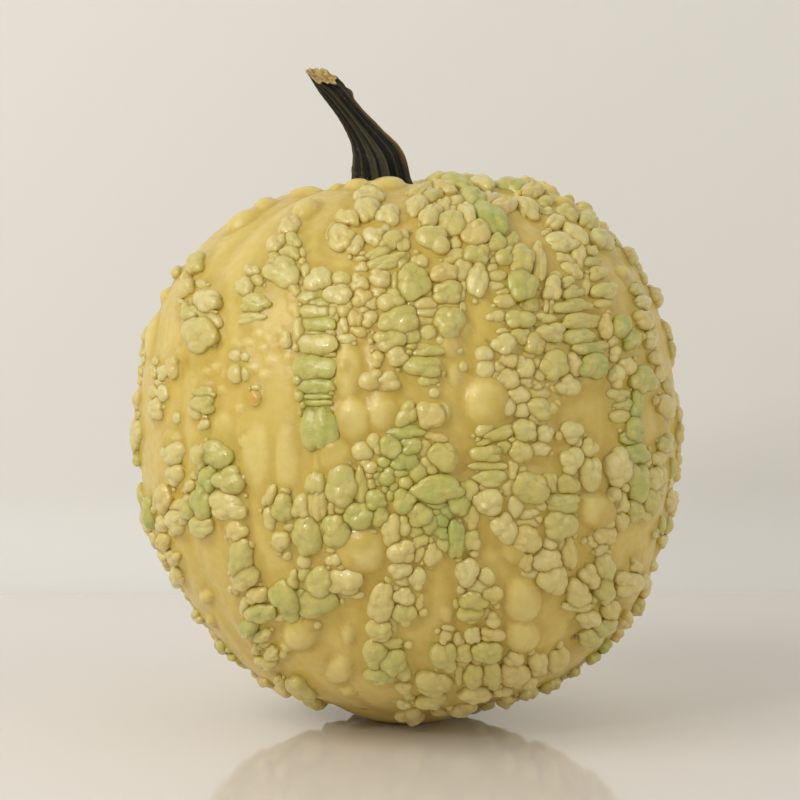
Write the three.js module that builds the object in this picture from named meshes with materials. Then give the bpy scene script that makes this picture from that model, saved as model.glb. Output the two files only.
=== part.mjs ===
// A warted winter squash: a pale, round fruit thickly set with rounded warts, and a bent, ridged, dry stem.
// Millimetres, +Z up, the front towards -Y. The origin is the middle of the flat spot underneath.

import * as THREE from "three";
import { ConvexHull } from "three/addons/math/ConvexHull.js";

// The bare fruit: a rounded upper half and a rounder lower half that meet at the waist
const WAIST_RADIUS = 130.8;
const WAIST_HEIGHT = 139;
const CROWN_RISE = 126;
const CROWN_POWER = 2.52;
const FOOT_DROP = 139.2;
const FOOT_TUCK = 4.4;
const FOOT_POWER = 2.07;

// It isn't quite even: one shoulder is raised, and its lower half bulges more to the right
const SHOULDER = new THREE.Vector3(0.54, 0, 0.84).normalize();
const SHOULDER_EDGE = 0.962;
const SHOULDER_RISE = 4.6;
const FOOT_LEAN = 3.4;

// Shallow upright furrows, and the dip in the crown that the stem grows from
const FURROWS = 11;
const FURROW_DEPTH = 1.3;
const FURROW_TURN = 0.2;
const STEM_X = -13;
const DIP_DEPTH = 11;
const DIP_RADIUS = 40;
const SEAT_RADIUS = 22;
const FLAT_SPOT_RADIUS = 19;

// Warts: how high they stand for their width, and how fine they get before they are left out
const WART_RISE = 0.4;
const HIGHEST_WART = 4.6;
const WART_SPREAD = 1.06;
const FINEST_WART = 8;
const LOW_WART_RISE = 0.26;
const BLISTER_RISE = 0.17;
const WIDE_WART = 12;

// Warts that no front view reaches: bands of them, up and down the fruit
const HIDDEN_FROM = 64;
const HIDDEN_FACING = -0.12;
const HIDDEN_BANDS = 9;
const HIDDEN_SEED = 20;
const HIDDEN_CLEAR = 0.88;
const BAND_HALF_WIDTH = 24;
const WARTS_PER_SIZE = [[18, 900], [15, 900], [12, 700]];

// Corners of the facets: on the tops of warts, in the creases round them and on bare skin
const TOP_SHARE = 0.55;
const FOOT_SHARE = 1.06;
const WIDE_WART_SIDES = 6;
const SMALL_WART_SIDES = 4;
const TOP_SPACING = 2.6;
const CREASE_GAP = 1.7;
const CREASE_SPACING = 4.5;
const CREASE_SHARE = 0.4;
const NEIGHBOUR_REACH = 1.2;
const BURIED = 0.6;
const SKIN_SPACING = 9.6;
const SEAT_CORNERS = 20;
const LIP_RADIUS = 27.5;
const LIP_RISE = 3;

// The stem: its middle line, as distance to the right, towards the back and up, with its width, from the
// foot up to the cut. The cut is slanted: its two half widths point to the right and to the back.
const STEM_LINE = [
  [-12.6, 0, 252, 41],
  [-12.8, 0, 257, 35],
  [-13.1, 0, 264, 30.5],
  [-14.5, -0.4, 275, 27],
  [-19.2, -1, 285, 18.3],
  [-25.6, -2, 294.6, 13.2],
  [-33, -3, 304.4, 12],
  [-37.6, -3.4, 310.6, 13.2],
  [-41.6, -3.6, 315.4, 16.8],
];
const STEM_RIDGES = 5;
const STEM_RIDGE_DEPTH = 0.13;
const STEM_FINE_RIDGES = 13;
const STEM_FINE_DEPTH = 0.045;
const STEM_TWIST = 0.8;
const STEM_SIDES = 36;
const STEM_STEPS = 22;
const STEM_GAP = 0.3;
const TIP_HOLLOW = 1.2;
const CUT_FROM = 0.76;
const CUT_RIGHT = [0.965, 0, -0.262];
const CUT_BACK = [0, 0.88, 0.45];

// The front view that the warts below are listed in: its size, how far off the eye is, how high it
// stands, how far it looks down, and how many picture points one unit of slope covers
const PICTURE_MIDDLE = 400;
const EYE_DISTANCE = 1294;
const EYE_HEIGHT = 263;
const EYE_RIGHT = -3.7;
const LOOK_DOWN = 4.66;
const PICTURE_SCALE = 2649;

// Every wart on the front: how far right and down it lies in the view, its width and height there, and
// how far it leans, in degrees
// The left limb, seen edge on
const LEFT_LIMB = [
  [143, 360, 8, 8], [136, 400, 10, 18], [137, 414, 10, 12], [136, 435, 10, 28], [142, 432, 10, 18],
  [140, 455, 8, 20], [141, 500, 8, 28], [147, 522, 10, 24], [153, 512, 12, 26], [155, 540, 8, 16],
  [158, 558, 8, 14], [163, 568, 8, 12], [172, 584, 12, 14], [177, 272, 10, 12], [197, 616, 14, 14],
  [222, 648, 14, 14], [229, 658, 14, 10], [240, 666, 12, 6], [266, 687, 16, 8], [157, 362, 7, 8],
  [156, 372, 8, 12], [165, 373, 12, 14], [162, 383, 10, 8], [155, 392, 8, 12], [165, 393, 10, 14],
  [158, 409, 14, 18], [175, 367, 10, 20], [176, 453, 20, 20], [178, 474, 14, 20], [178, 418, 6, 10],
  [167, 499, 16, 24], [179, 505, 14, 12, -45], [180, 520, 18, 22], [165, 524, 12, 16],
  [167, 541, 14, 18], [176, 556, 14, 14], [180, 574, 18, 14, 60],
];
// The left shoulder and cheek
const LEFT_CHEEK = [
  [198, 266, 22, 16, -65], [190, 287, 22, 13, -75], [203, 285, 10, 8], [184, 303, 10, 8],
  [195, 303, 10, 10], [192, 313, 16, 16], [209, 302, 24, 20], [208, 314, 20, 8], [216, 322, 12, 14],
  [206, 320, 16, 6], [202, 335, 28, 30], [190, 327, 8, 12], [217, 338, 8, 16], [206, 394, 18, 12],
  [206, 404, 20, 18], [196, 412, 14, 9, 60], [205, 425, 10, 12], [207, 417, 5, 5], [237, 356, 12, 10],
  [246, 357, 8, 8], [237, 374, 12, 16], [246, 374, 8, 12], [257, 388, 8, 6], [219, 455, 26, 24],
  [204, 457, 14, 24], [211, 478, 14, 24], [197, 475, 8, 8], [203, 472, 10, 10], [231, 480, 26, 24],
  [244, 480, 7, 10], [213, 491, 10, 7], [203, 484, 10, 8], [204, 500, 18, 34], [191, 487, 10, 14],
  [192, 508, 12, 22], [203, 525, 20, 18], [230, 506, 34, 24, 20], [238, 530, 18, 18],
  [243, 558, 20, 30], [246, 575, 22, 22], [238, 583, 9, 16], [259, 593, 18, 16], [246, 606, 8, 16],
  [262, 611, 24, 16], [252, 626, 16, 18], [263, 633, 18, 11], [266, 643, 10, 6], [257, 648, 9, 14],
  [274, 651, 14, 12], [268, 660, 20, 12], [284, 652, 8, 8],
];
// The band left of the middle
const LEFT_BAND = [
  [291, 229, 20, 13, -35], [278, 246, 20, 12, -48], [294, 243, 14, 14], [291, 256, 18, 12],
  [276, 260, 14, 10], [284, 274, 30, 26], [303, 254, 6, 8], [303, 263, 7, 7], [306, 272, 8, 14],
  [301, 282, 8, 8], [295, 290, 14, 12], [253, 272, 12, 12], [247, 288, 16, 16], [257, 283, 14, 12],
  [256, 304, 26, 15, -10], [252, 318, 24, 9, -10], [299, 331, 10, 22], [287, 340, 13, 14],
  [270, 497, 22, 11, -75], [271, 518, 19, 12, 60], [285, 492, 10, 8], [284, 507, 18, 24],
  [303, 507, 20, 22], [278, 515, 6, 10], [291, 527, 12, 8], [293, 536, 8, 6], [309, 534, 24, 34],
  [323, 531, 6, 14], [282, 540, 16, 18], [280, 550, 7, 9], [288, 555, 8, 8], [305, 561, 12, 12],
  [294, 579, 13, 16], [306, 574, 13, 12], [286, 598, 38, 22, 55], [281, 616, 14, 7],
  [321, 582, 24, 26], [316, 600, 38, 26], [301, 594, 12, 10], [317, 624, 8, 6], [281, 679, 12, 12],
  [284, 690, 18, 10], [302, 686, 30, 16, 42], [314, 701, 22, 13],
];
// The ladder of cross ridges beside the bare strip
const LADDER = [
  [319, 282, 26, 18, -30], [313, 297, 26, 12, -12], [319, 304, 20, 10], [316, 312, 26, 12],
  [318, 325, 32, 12], [331, 334, 9, 8], [316, 335, 24, 6], [318, 345, 34, 18], [330, 355, 12, 6],
  [316, 368, 38, 20], [317, 386, 32, 13], [318, 397, 25, 5], [318, 403, 26, 6], [319, 414, 26, 12],
  [321, 429, 32, 34], [317, 484, 18, 20], [319, 503, 18, 28], [327, 482, 6, 12],
];
// The middle, from the crown down
const MIDDLE = [
  [332, 232, 16, 8, -60], [348, 222, 20, 13], [343, 240, 24, 20, -20], [370, 199, 24, 20],
  [368, 212, 22, 18], [388, 218, 22, 15], [386, 230, 8, 7], [356, 248, 18, 14, -40], [362, 255, 11, 4],
  [362, 260, 11, 4], [362, 269, 12, 11], [375, 239, 20, 16], [392, 243, 24, 14, -20],
  [380, 254, 26, 11, -25], [388, 263, 36, 12, -15], [380, 280, 20, 16], [396, 283, 9, 18],
  [403, 243, 14, 18], [404, 262, 12, 14], [360, 285, 16, 18], [342, 280, 16, 12], [339, 296, 24, 18],
  [363, 299, 18, 15, -45], [378, 294, 18, 10], [372, 304, 14, 11], [392, 303, 24, 20],
  [346, 310, 14, 16], [334, 312, 9, 9], [338, 318, 5, 9], [356, 320, 13, 20], [345, 326, 11, 14],
  [370, 320, 16, 14], [358, 332, 15, 12], [347, 339, 16, 9], [365, 311, 10, 6], [378, 360, 14, 14],
  [373, 381, 22, 20], [388, 382, 24, 18], [391, 340, 28, 20], [385, 348, 14, 8], [343, 484, 28, 34],
  [361, 487, 13, 32], [331, 497, 10, 12], [332, 508, 14, 12], [341, 506, 12, 13], [363, 451, 18, 16],
  [369, 466, 16, 14], [376, 444, 16, 18], [391, 446, 20, 22], [384, 462, 12, 10], [379, 469, 8, 5],
  [370, 475, 8, 6], [388, 476, 18, 16], [378, 476, 9, 8], [372, 484, 9, 10], [380, 482, 10, 8],
  [373, 491, 8, 4], [385, 489, 6, 8], [376, 500, 22, 18], [381, 515, 16, 20], [360, 515, 26, 22],
  [351, 503, 8, 7], [351, 509, 6, 6], [337, 530, 24, 28], [337, 544, 16, 8], [332, 549, 10, 6],
  [363, 532, 26, 10], [335, 559, 14, 13], [346, 558, 10, 14], [342, 567, 8, 8], [346, 580, 30, 22],
  [352, 592, 22, 11], [382, 602, 36, 22, -70], [380, 627, 24, 18], [391, 624, 12, 16],
  [389, 642, 28, 9], [375, 652, 20, 24], [393, 660, 24, 20], [381, 672, 24, 14],
];
// The middle right, from the crown to the waist
const CENTRE_UPPER = [
  [425, 194, 28, 13, -20], [417, 208, 20, 18], [430, 199, 20, 14], [436, 206, 8, 10],
  [443, 192, 24, 12, 10], [429, 219, 20, 16, -20], [421, 226, 5, 5], [426, 231, 6, 5],
  [444, 208, 14, 16], [457, 203, 14, 9], [453, 211, 8, 7], [467, 217, 24, 14, 55], [477, 224, 6, 5],
  [433, 241, 28, 20, 25], [452, 227, 26, 20], [456, 244, 14, 13], [476, 235, 26, 20],
  [478, 246, 12, 6], [486, 249, 8, 7], [458, 258, 30, 13, -15], [475, 257, 22, 18], [492, 254, 8, 7],
  [488, 257, 6, 8], [493, 262, 8, 7], [444, 275, 24, 18], [462, 272, 18, 18], [477, 282, 18, 30],
  [446, 294, 26, 20], [461, 291, 12, 20], [419, 263, 14, 14], [413, 284, 28, 30], [426, 294, 12, 7],
  [411, 304, 10, 8], [425, 305, 20, 12], [427, 313, 20, 10], [399, 322, 34, 24, -10],
  [411, 336, 16, 14], [397, 357, 20, 18], [424, 322, 18, 10], [428, 333, 15, 12], [448, 323, 26, 26],
  [449, 308, 20, 7], [462, 308, 7, 10], [459, 351, 6, 6], [413, 347, 12, 6], [409, 353, 6, 6],
  [427, 351, 28, 12], [424, 367, 32, 20], [428, 381, 16, 13], [434, 393, 9, 9], [463, 367, 8, 9],
];
// The middle right, from the waist to the foot
const CENTRE_LOWER = [
  [407, 415, 24, 17, -55], [430, 416, 24, 26], [442, 412, 13, 16], [407, 432, 34, 14],
  [410, 446, 20, 18], [405, 461, 26, 16], [400, 473, 14, 7], [394, 487, 8, 9], [391, 495, 8, 10],
  [406, 483, 12, 12], [405, 500, 22, 22], [435, 437, 20, 12, 15], [425, 449, 12, 16],
  [443, 456, 26, 26], [419, 472, 15, 18], [430, 464, 18, 16], [437, 489, 44, 24], [467, 490, 18, 20],
  [458, 503, 20, 20], [437, 505, 18, 8], [437, 512, 10, 6], [420, 514, 22, 20], [430, 523, 14, 18],
  [441, 520, 12, 14], [446, 511, 12, 12], [441, 532, 18, 12], [443, 544, 12, 12], [415, 531, 14, 11],
  [419, 541, 18, 12], [457, 522, 10, 8], [456, 538, 16, 32], [471, 516, 14, 24], [471, 539, 16, 20],
  [392, 529, 18, 26], [404, 524, 16, 18], [402, 551, 24, 22], [419, 553, 12, 14], [432, 554, 15, 20],
  [431, 540, 5, 7], [400, 568, 20, 15], [404, 579, 18, 10], [417, 578, 16, 19], [393, 585, 18, 8, 50],
  [404, 595, 19, 15], [420, 601, 10, 16], [404, 613, 20, 20], [403, 671, 14, 14], [404, 685, 16, 9],
  [410, 694, 11, 9], [415, 700, 8, 6], [404, 702, 14, 10], [411, 712, 24, 20], [432, 681, 30, 18],
  [432, 697, 30, 15], [443, 655, 22, 24], [444, 636, 13, 12], [448, 627, 11, 5],
];
// The broad green band right of the middle
const GREEN_BAND = [
  [445, 180, 30, 16, -5], [457, 187, 32, 14, 38], [473, 202, 22, 20, 45], [490, 221, 36, 20, 42],
  [467, 179, 20, 10, 25], [482, 187, 24, 14, 45], [490, 201, 16, 14, -50], [511, 189, 30, 18, 10],
  [531, 195, 22, 12, -15], [522, 202, 10, 7], [503, 210, 24, 14, -25], [525, 211, 24, 14, 25],
  [538, 212, 10, 8], [496, 245, 16, 16], [511, 242, 16, 12, -60], [505, 259, 18, 16],
  [521, 262, 22, 26], [538, 264, 12, 34], [492, 269, 9, 8], [497, 277, 16, 9], [495, 287, 16, 9],
  [503, 293, 12, 8], [504, 302, 18, 12], [521, 287, 26, 28], [530, 306, 16, 12], [495, 317, 16, 12],
  [502, 332, 10, 6], [503, 346, 22, 20], [484, 355, 15, 14], [485, 369, 15, 16], [497, 377, 10, 12],
  [508, 360, 18, 16], [499, 368, 10, 14], [508, 379, 20, 18], [503, 406, 18, 20],
  [484, 429, 18, 11, -40], [499, 433, 30, 12, -20], [488, 441, 20, 8, -20], [500, 448, 18, 14],
  [487, 454, 28, 16], [488, 466, 32, 8], [489, 478, 30, 15], [512, 440, 8, 6], [515, 422, 5, 5],
  [519, 452, 20, 20], [512, 469, 12, 17], [521, 472, 10, 12], [511, 486, 20, 12, -35],
  [500, 491, 6, 5], [485, 488, 16, 7], [487, 501, 26, 22], [504, 527, 22, 27], [515, 506, 13, 20],
  [466, 571, 20, 24], [478, 585, 20, 13], [486, 577, 14, 16], [491, 593, 18, 16], [461, 589, 8, 8],
  [460, 597, 5, 6], [456, 603, 6, 8], [473, 599, 24, 18], [470, 609, 22, 16], [484, 612, 12, 8],
  [496, 604, 6, 6], [492, 618, 16, 13], [471, 618, 10, 8], [459, 640, 11, 17], [473, 634, 14, 16],
  [491, 633, 22, 13], [464, 651, 17, 15], [486, 649, 26, 17], [477, 660, 10, 8], [463, 661, 12, 6],
  [489, 661, 14, 10], [459, 674, 8, 18], [474, 673, 20, 20], [491, 672, 20, 22], [474, 691, 28, 13],
  [484, 698, 10, 8], [462, 705, 24, 15], [486, 703, 14, 12], [440, 709, 16, 8],
];
// The right shoulder and cheek
const RIGHT_CHEEK = [
  [545, 203, 12, 9], [545, 214, 12, 10], [554, 225, 16, 14], [566, 216, 20, 13, 30],
  [572, 236, 30, 11, 42], [586, 224, 20, 20], [545, 235, 8, 6], [560, 246, 30, 16, 10],
  [577, 258, 12, 22, -10], [565, 262, 20, 8, 30], [570, 273, 20, 9, 42], [554, 277, 12, 8],
  [551, 290, 16, 21], [566, 284, 14, 10], [571, 294, 18, 12], [585, 285, 8, 18], [571, 307, 34, 13],
  [545, 306, 5, 14], [550, 307, 6, 14], [531, 305, 20, 10], [519, 321, 24, 18], [545, 319, 18, 11],
  [580, 322, 30, 14], [577, 338, 26, 16], [549, 334, 26, 18], [548, 349, 20, 12], [520, 337, 18, 16],
  [533, 345, 18, 20], [529, 355, 14, 10], [552, 366, 24, 26], [571, 365, 15, 22], [566, 386, 20, 20],
  [555, 391, 14, 6, 40], [536, 364, 8, 10], [539, 375, 11, 11], [523, 368, 16, 22],
  [526, 383, 22, 10], [535, 386, 12, 12], [517, 395, 20, 16], [538, 394, 18, 12], [521, 410, 14, 14],
  [540, 409, 26, 20], [537, 420, 16, 13], [523, 430, 20, 20], [532, 435, 8, 12], [543, 433, 16, 17],
  [570, 432, 18, 20], [590, 349, 28, 15], [591, 367, 28, 22], [586, 373, 9, 9], [538, 449, 20, 14],
  [575, 442, 10, 11], [570, 460, 18, 24], [587, 447, 14, 18], [588, 472, 20, 30],
  [530, 488, 30, 26], [548, 482, 14, 19], [566, 484, 20, 18], [561, 503, 32, 17], [558, 523, 28, 26],
  [540, 505, 11, 10], [527, 513, 20, 12], [526, 523, 22, 9], [525, 538, 26, 22], [549, 541, 16, 14],
  [561, 545, 8, 14], [567, 553, 13, 30], [545, 559, 24, 20], [524, 560, 14, 18], [530, 573, 16, 8],
  [552, 578, 24, 26], [565, 565, 12, 8], [512, 657, 18, 14], [513, 672, 26, 22], [501, 688, 18, 11],
  [536, 662, 16, 20], [526, 679, 18, 14], [554, 659, 28, 18, -60], [508, 698, 22, 14],
  [529, 694, 18, 15], [549, 684, 20, 12],
];
// The right limb, seen edge on
const RIGHT_LIMB = [
  [600, 242, 22, 22], [614, 235, 8, 8], [620, 243, 10, 8], [628, 258, 14, 18], [642, 278, 8, 14],
  [652, 297, 14, 20], [634, 291, 14, 11], [641, 304, 18, 14], [589, 252, 14, 10], [590, 264, 16, 10],
  [596, 275, 16, 13], [603, 292, 20, 15], [602, 304, 14, 8], [603, 327, 14, 22], [611, 340, 9, 16],
  [618, 328, 16, 20], [628, 340, 14, 20], [613, 354, 12, 14], [614, 377, 14, 20], [617, 395, 18, 13],
  [622, 405, 16, 12], [619, 416, 16, 12], [625, 367, 14, 16], [640, 381, 20, 24], [642, 320, 20, 18],
  [648, 340, 14, 16], [653, 358, 12, 14], [657, 375, 12, 14], [664, 386, 14, 16], [663, 406, 22, 22],
  [668, 330, 8, 20], [672, 350, 8, 16], [677, 415, 10, 16], [680, 434, 10, 18], [634, 404, 10, 28],
  [632, 430, 16, 22], [616, 467, 22, 30], [625, 487, 10, 12], [611, 497, 14, 20], [618, 503, 14, 18],
  [603, 519, 18, 18], [618, 520, 12, 18], [631, 438, 20, 12], [634, 454, 22, 17], [635, 482, 18, 34],
  [631, 509, 14, 20], [645, 461, 8, 11], [656, 459, 15, 16], [662, 445, 17, 20], [651, 479, 14, 21],
  [660, 474, 8, 14], [669, 468, 10, 18], [648, 500, 14, 26], [645, 514, 10, 12], [668, 500, 16, 18],
  [661, 490, 10, 10], [668, 483, 12, 10], [659, 524, 8, 14], [653, 533, 8, 10], [665, 525, 10, 18],
  [660, 541, 14, 14], [603, 534, 22, 18], [600, 550, 16, 12], [590, 541, 12, 10], [602, 568, 16, 24],
  [602, 588, 16, 24], [587, 575, 15, 21], [576, 592, 20, 22], [578, 605, 26, 10], [594, 596, 12, 12],
  [608, 608, 16, 18], [586, 617, 20, 16], [602, 624, 24, 16], [588, 636, 22, 18], [634, 566, 12, 12],
  [651, 565, 10, 12], [626, 582, 26, 22], [642, 580, 12, 14], [645, 590, 8, 20], [639, 609, 12, 20],
  [622, 618, 14, 18], [614, 632, 14, 14], [606, 648, 18, 12], [592, 657, 16, 12], [573, 671, 14, 10],
];
// Soft warts that hardly rise from the skin
const LOW_WARTS = [
  [165, 295, 12, 14], [210, 634, 14, 8], [180, 310, 10, 12], [184, 354, 14, 14], [173, 440, 16, 20],
  [243, 222, 36, 14, -32], [226, 232, 8, 6], [266, 207, 24, 14, -35], [205, 291, 10, 6],
  [207, 384, 10, 8], [238, 345, 12, 8], [193, 373, 8, 6], [207, 596, 12, 12], [212, 620, 10, 16],
  [245, 442, 10, 12], [256, 438, 10, 10], [305, 193, 34, 10, -5], [338, 187, 16, 8, -15],
  [306, 210, 26, 18, -35], [295, 308, 12, 10], [288, 356, 8, 10], [300, 633, 30, 28],
  [288, 644, 12, 12], [317, 463, 8, 22], [348, 634, 12, 18], [348, 690, 12, 12], [386, 177, 34, 22], [358, 184, 26, 14],
  [450, 346, 18, 20], [454, 375, 10, 20], [447, 613, 11, 14], [422, 184, 14, 8], [513, 550, 18, 24],
  [548, 190, 20, 10, 20], [565, 205, 22, 13, 20], [521, 635, 32, 28], [590, 214, 14, 8],
  [603, 227, 12, 10], [622, 272, 14, 12], [596, 510, 28, 32], [625, 598, 20, 12],
  [363, 551, 42, 40],
];
// Broad smooth blisters of bare skin
const BLISTERS = [
  [150, 336, 18, 44], [222, 430, 22, 34], [258, 455, 26, 60], [288, 455, 22, 60], [348, 372, 26, 48],
  [353, 420, 32, 40], [382, 412, 28, 34], [336, 455, 30, 32], [340, 668, 22, 24], [464, 328, 10, 20],
  [487, 402, 44, 44], [522, 600, 34, 40],
];

const FRONT_WARTS = [
  LEFT_LIMB, LEFT_CHEEK, LEFT_BAND, LADDER, MIDDLE, CENTRE_UPPER, CENTRE_LOWER, GREEN_BAND, RIGHT_CHEEK,
  RIGHT_LIMB,
].flat();

const RADIANS = Math.PI / 180;
const MIDDLE_POINT = new THREE.Vector3(0, 0, WAIST_HEIGHT);
const UP = new THREE.Vector3(0, 0, 1);

// Random numbers that come out the same every time
function seededRandom(seed) {
  let state = seed;
  return () => {
    state = (state + 0x6d2b79f5) | 0;
    let t = Math.imul(state ^ (state >>> 15), 1 | state);
    t = (t + Math.imul(t ^ (t >>> 7), 61 | t)) ^ t;
    return ((t ^ (t >>> 14)) >>> 0) / 4294967296;
  };
}

function smoothStep(from, to, value) {
  const t = Math.min(1, Math.max(0, (value - from) / (to - from)));
  return t * t * (3 - 2 * t);
}

// Height of the flat seat in the crown that the stem stands on
const SEAT_HEIGHT = WAIST_HEIGHT + CROWN_RISE - DIP_DEPTH;

// Distance from the middle point to the bare skin in one direction
function skinReach(direction) {
  const level = Math.hypot(direction.x, direction.y);
  const upper = direction.z > 0;
  const power = upper ? CROWN_POWER : FOOT_POWER;
  const rise = upper ? CROWN_RISE : FOOT_DROP;
  const sum = (level / WAIST_RADIUS) ** power + (Math.abs(direction.z) / rise) ** power;
  let reach = sum ** (-1 / power);
  const turn = Math.atan2(direction.x, -direction.y);
  const furrow = Math.abs(Math.sin((turn - FURROW_TURN) * FURROWS / 2));
  reach -= FURROW_DEPTH * (1 - smoothStep(0, 0.55, furrow)) * smoothStep(0.12, 0.6, level);
  reach += SHOULDER_RISE * smoothStep(SHOULDER_EDGE, 1, direction.dot(SHOULDER));
  reach += FOOT_LEAN * direction.x * smoothStep(0.3, 0.55, -direction.z)
    * (1 - smoothStep(0.7, 0.9, -direction.z));
  const x = direction.x * reach - STEM_X;
  const y = direction.y * reach;
  const fromStem = Math.hypot(x, y);
  if (upper && fromStem < DIP_RADIUS) {
    const height = direction.z * reach - (1 - smoothStep(SEAT_RADIUS, DIP_RADIUS, fromStem)) * DIP_DEPTH;
    const capped = fromStem < SEAT_RADIUS ? SEAT_HEIGHT - WAIST_HEIGHT : height;
    reach = capped / direction.z;
  }
  if (!upper) reach -= FOOT_TUCK * smoothStep(0.14, 0.34, level) * (1 - smoothStep(0.36, 0.64, level));
  if (!upper && level * reach < FLAT_SPOT_RADIUS + 0.1) reach = WAIST_HEIGHT / -direction.z;
  return reach;
}

function skinPoint(direction) {
  return direction.clone().multiplyScalar(skinReach(direction)).add(MIDDLE_POINT);
}

// How far a point stands out of the bare skin
function outside(point) {
  const offset = point.clone().sub(MIDDLE_POINT);
  return offset.length() - skinReach(offset.clone().normalize());
}

function skinNormal(point) {
  const step = 0.8;
  const slope = (axis) => {
    const ahead = point.clone();
    ahead[axis] += step;
    const behind = point.clone();
    behind[axis] -= step;
    return outside(ahead) - outside(behind);
  };
  return new THREE.Vector3(slope("x"), slope("y"), slope("z")).normalize();
}

// The point of the skin that shows at one place of the front view, or the nearest where none does
const EYE = new THREE.Vector3(EYE_RIGHT, -EYE_DISTANCE, EYE_HEIGHT);
const LOOK = new THREE.Vector3(0, Math.cos(LOOK_DOWN * RADIANS), -Math.sin(LOOK_DOWN * RADIANS));
const VIEW_RIGHT = new THREE.Vector3(1, 0, 0);
const VIEW_UP = new THREE.Vector3().crossVectors(VIEW_RIGHT, LOOK);

function seenPoint(across, down) {
  const ray = LOOK.clone()
    .addScaledVector(VIEW_RIGHT, (across - PICTURE_MIDDLE) / PICTURE_SCALE)
    .addScaledVector(VIEW_UP, (PICTURE_MIDDLE - down) / PICTURE_SCALE)
    .normalize();
  const at = (distance) => EYE.clone().addScaledVector(ray, distance);
  let nearest = EYE_DISTANCE;
  for (let distance = EYE_DISTANCE - 150; distance < EYE_DISTANCE + 40; distance += 2) {
    if (outside(at(distance)) < outside(at(nearest))) nearest = distance;
    if (outside(at(distance)) < 0) {
      let [far, near] = [distance, distance - 2];
      for (let halving = 0; halving < 20; halving++) {
        const half = (far + near) / 2;
        if (outside(at(half)) < 0) far = half;
        else near = half;
      }
      return at(far);
    }
  }
  return skinPoint(at(nearest).sub(MIDDLE_POINT).normalize());
}

// A wart is an oval dome on the skin: a point, two unit directions along the skin, the two half lengths
// as vectors in them, and a height
function makeWart(point, normal, sideways, halfA, halfB, height) {
  const upwards = new THREE.Vector3().crossVectors(normal, sideways);
  const det = halfA.x * halfB.y - halfA.y * halfB.x;
  const size = Math.sqrt(Math.abs(det));
  return { point, sideways, upwards, halfA, halfB, det, size, height };
}

// A wart that is listed in the front view. Its outline is stretched as it is when seen face on.
function seenWart([across, down, width, high, lean = 0], rise) {
  const point = seenPoint(across, down);
  const normal = skinNormal(point);
  const toEye = EYE.clone().sub(point).normalize();
  const sideways = new THREE.Vector3().crossVectors(toEye, normal).normalize();
  const upwards = new THREE.Vector3().crossVectors(normal, sideways);
  const seenUpwards = upwards.clone().addScaledVector(toEye, -upwards.dot(toEye)).normalize();
  const facing = Math.max(0.5, normal.dot(toEye));
  const scale = WART_SPREAD * EYE.distanceTo(point) / PICTURE_SCALE / 2;
  const onSkin = (right, up) => {
    const offset = VIEW_RIGHT.clone().multiplyScalar(right).addScaledVector(VIEW_UP, up);
    return new THREE.Vector2(offset.dot(sideways), offset.dot(seenUpwards) / facing);
  };
  const turn = lean * RADIANS;
  const halfA = onSkin(Math.cos(turn) * width * scale, -Math.sin(turn) * width * scale);
  const halfB = onSkin(Math.sin(turn) * high * scale, Math.cos(turn) * high * scale);
  const height = Math.min(HIGHEST_WART, rise * 2 * Math.min(halfA.length(), halfB.length()));
  return makeWart(point, normal, sideways, halfA, halfB, height);
}

// The direction from the middle point at a turn from the front and a tilt above the waist
function directionAt(turn, tilt) {
  const level = Math.cos(tilt);
  return new THREE.Vector3(Math.sin(turn) * level, -Math.cos(turn) * level, Math.sin(tilt));
}

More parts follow.
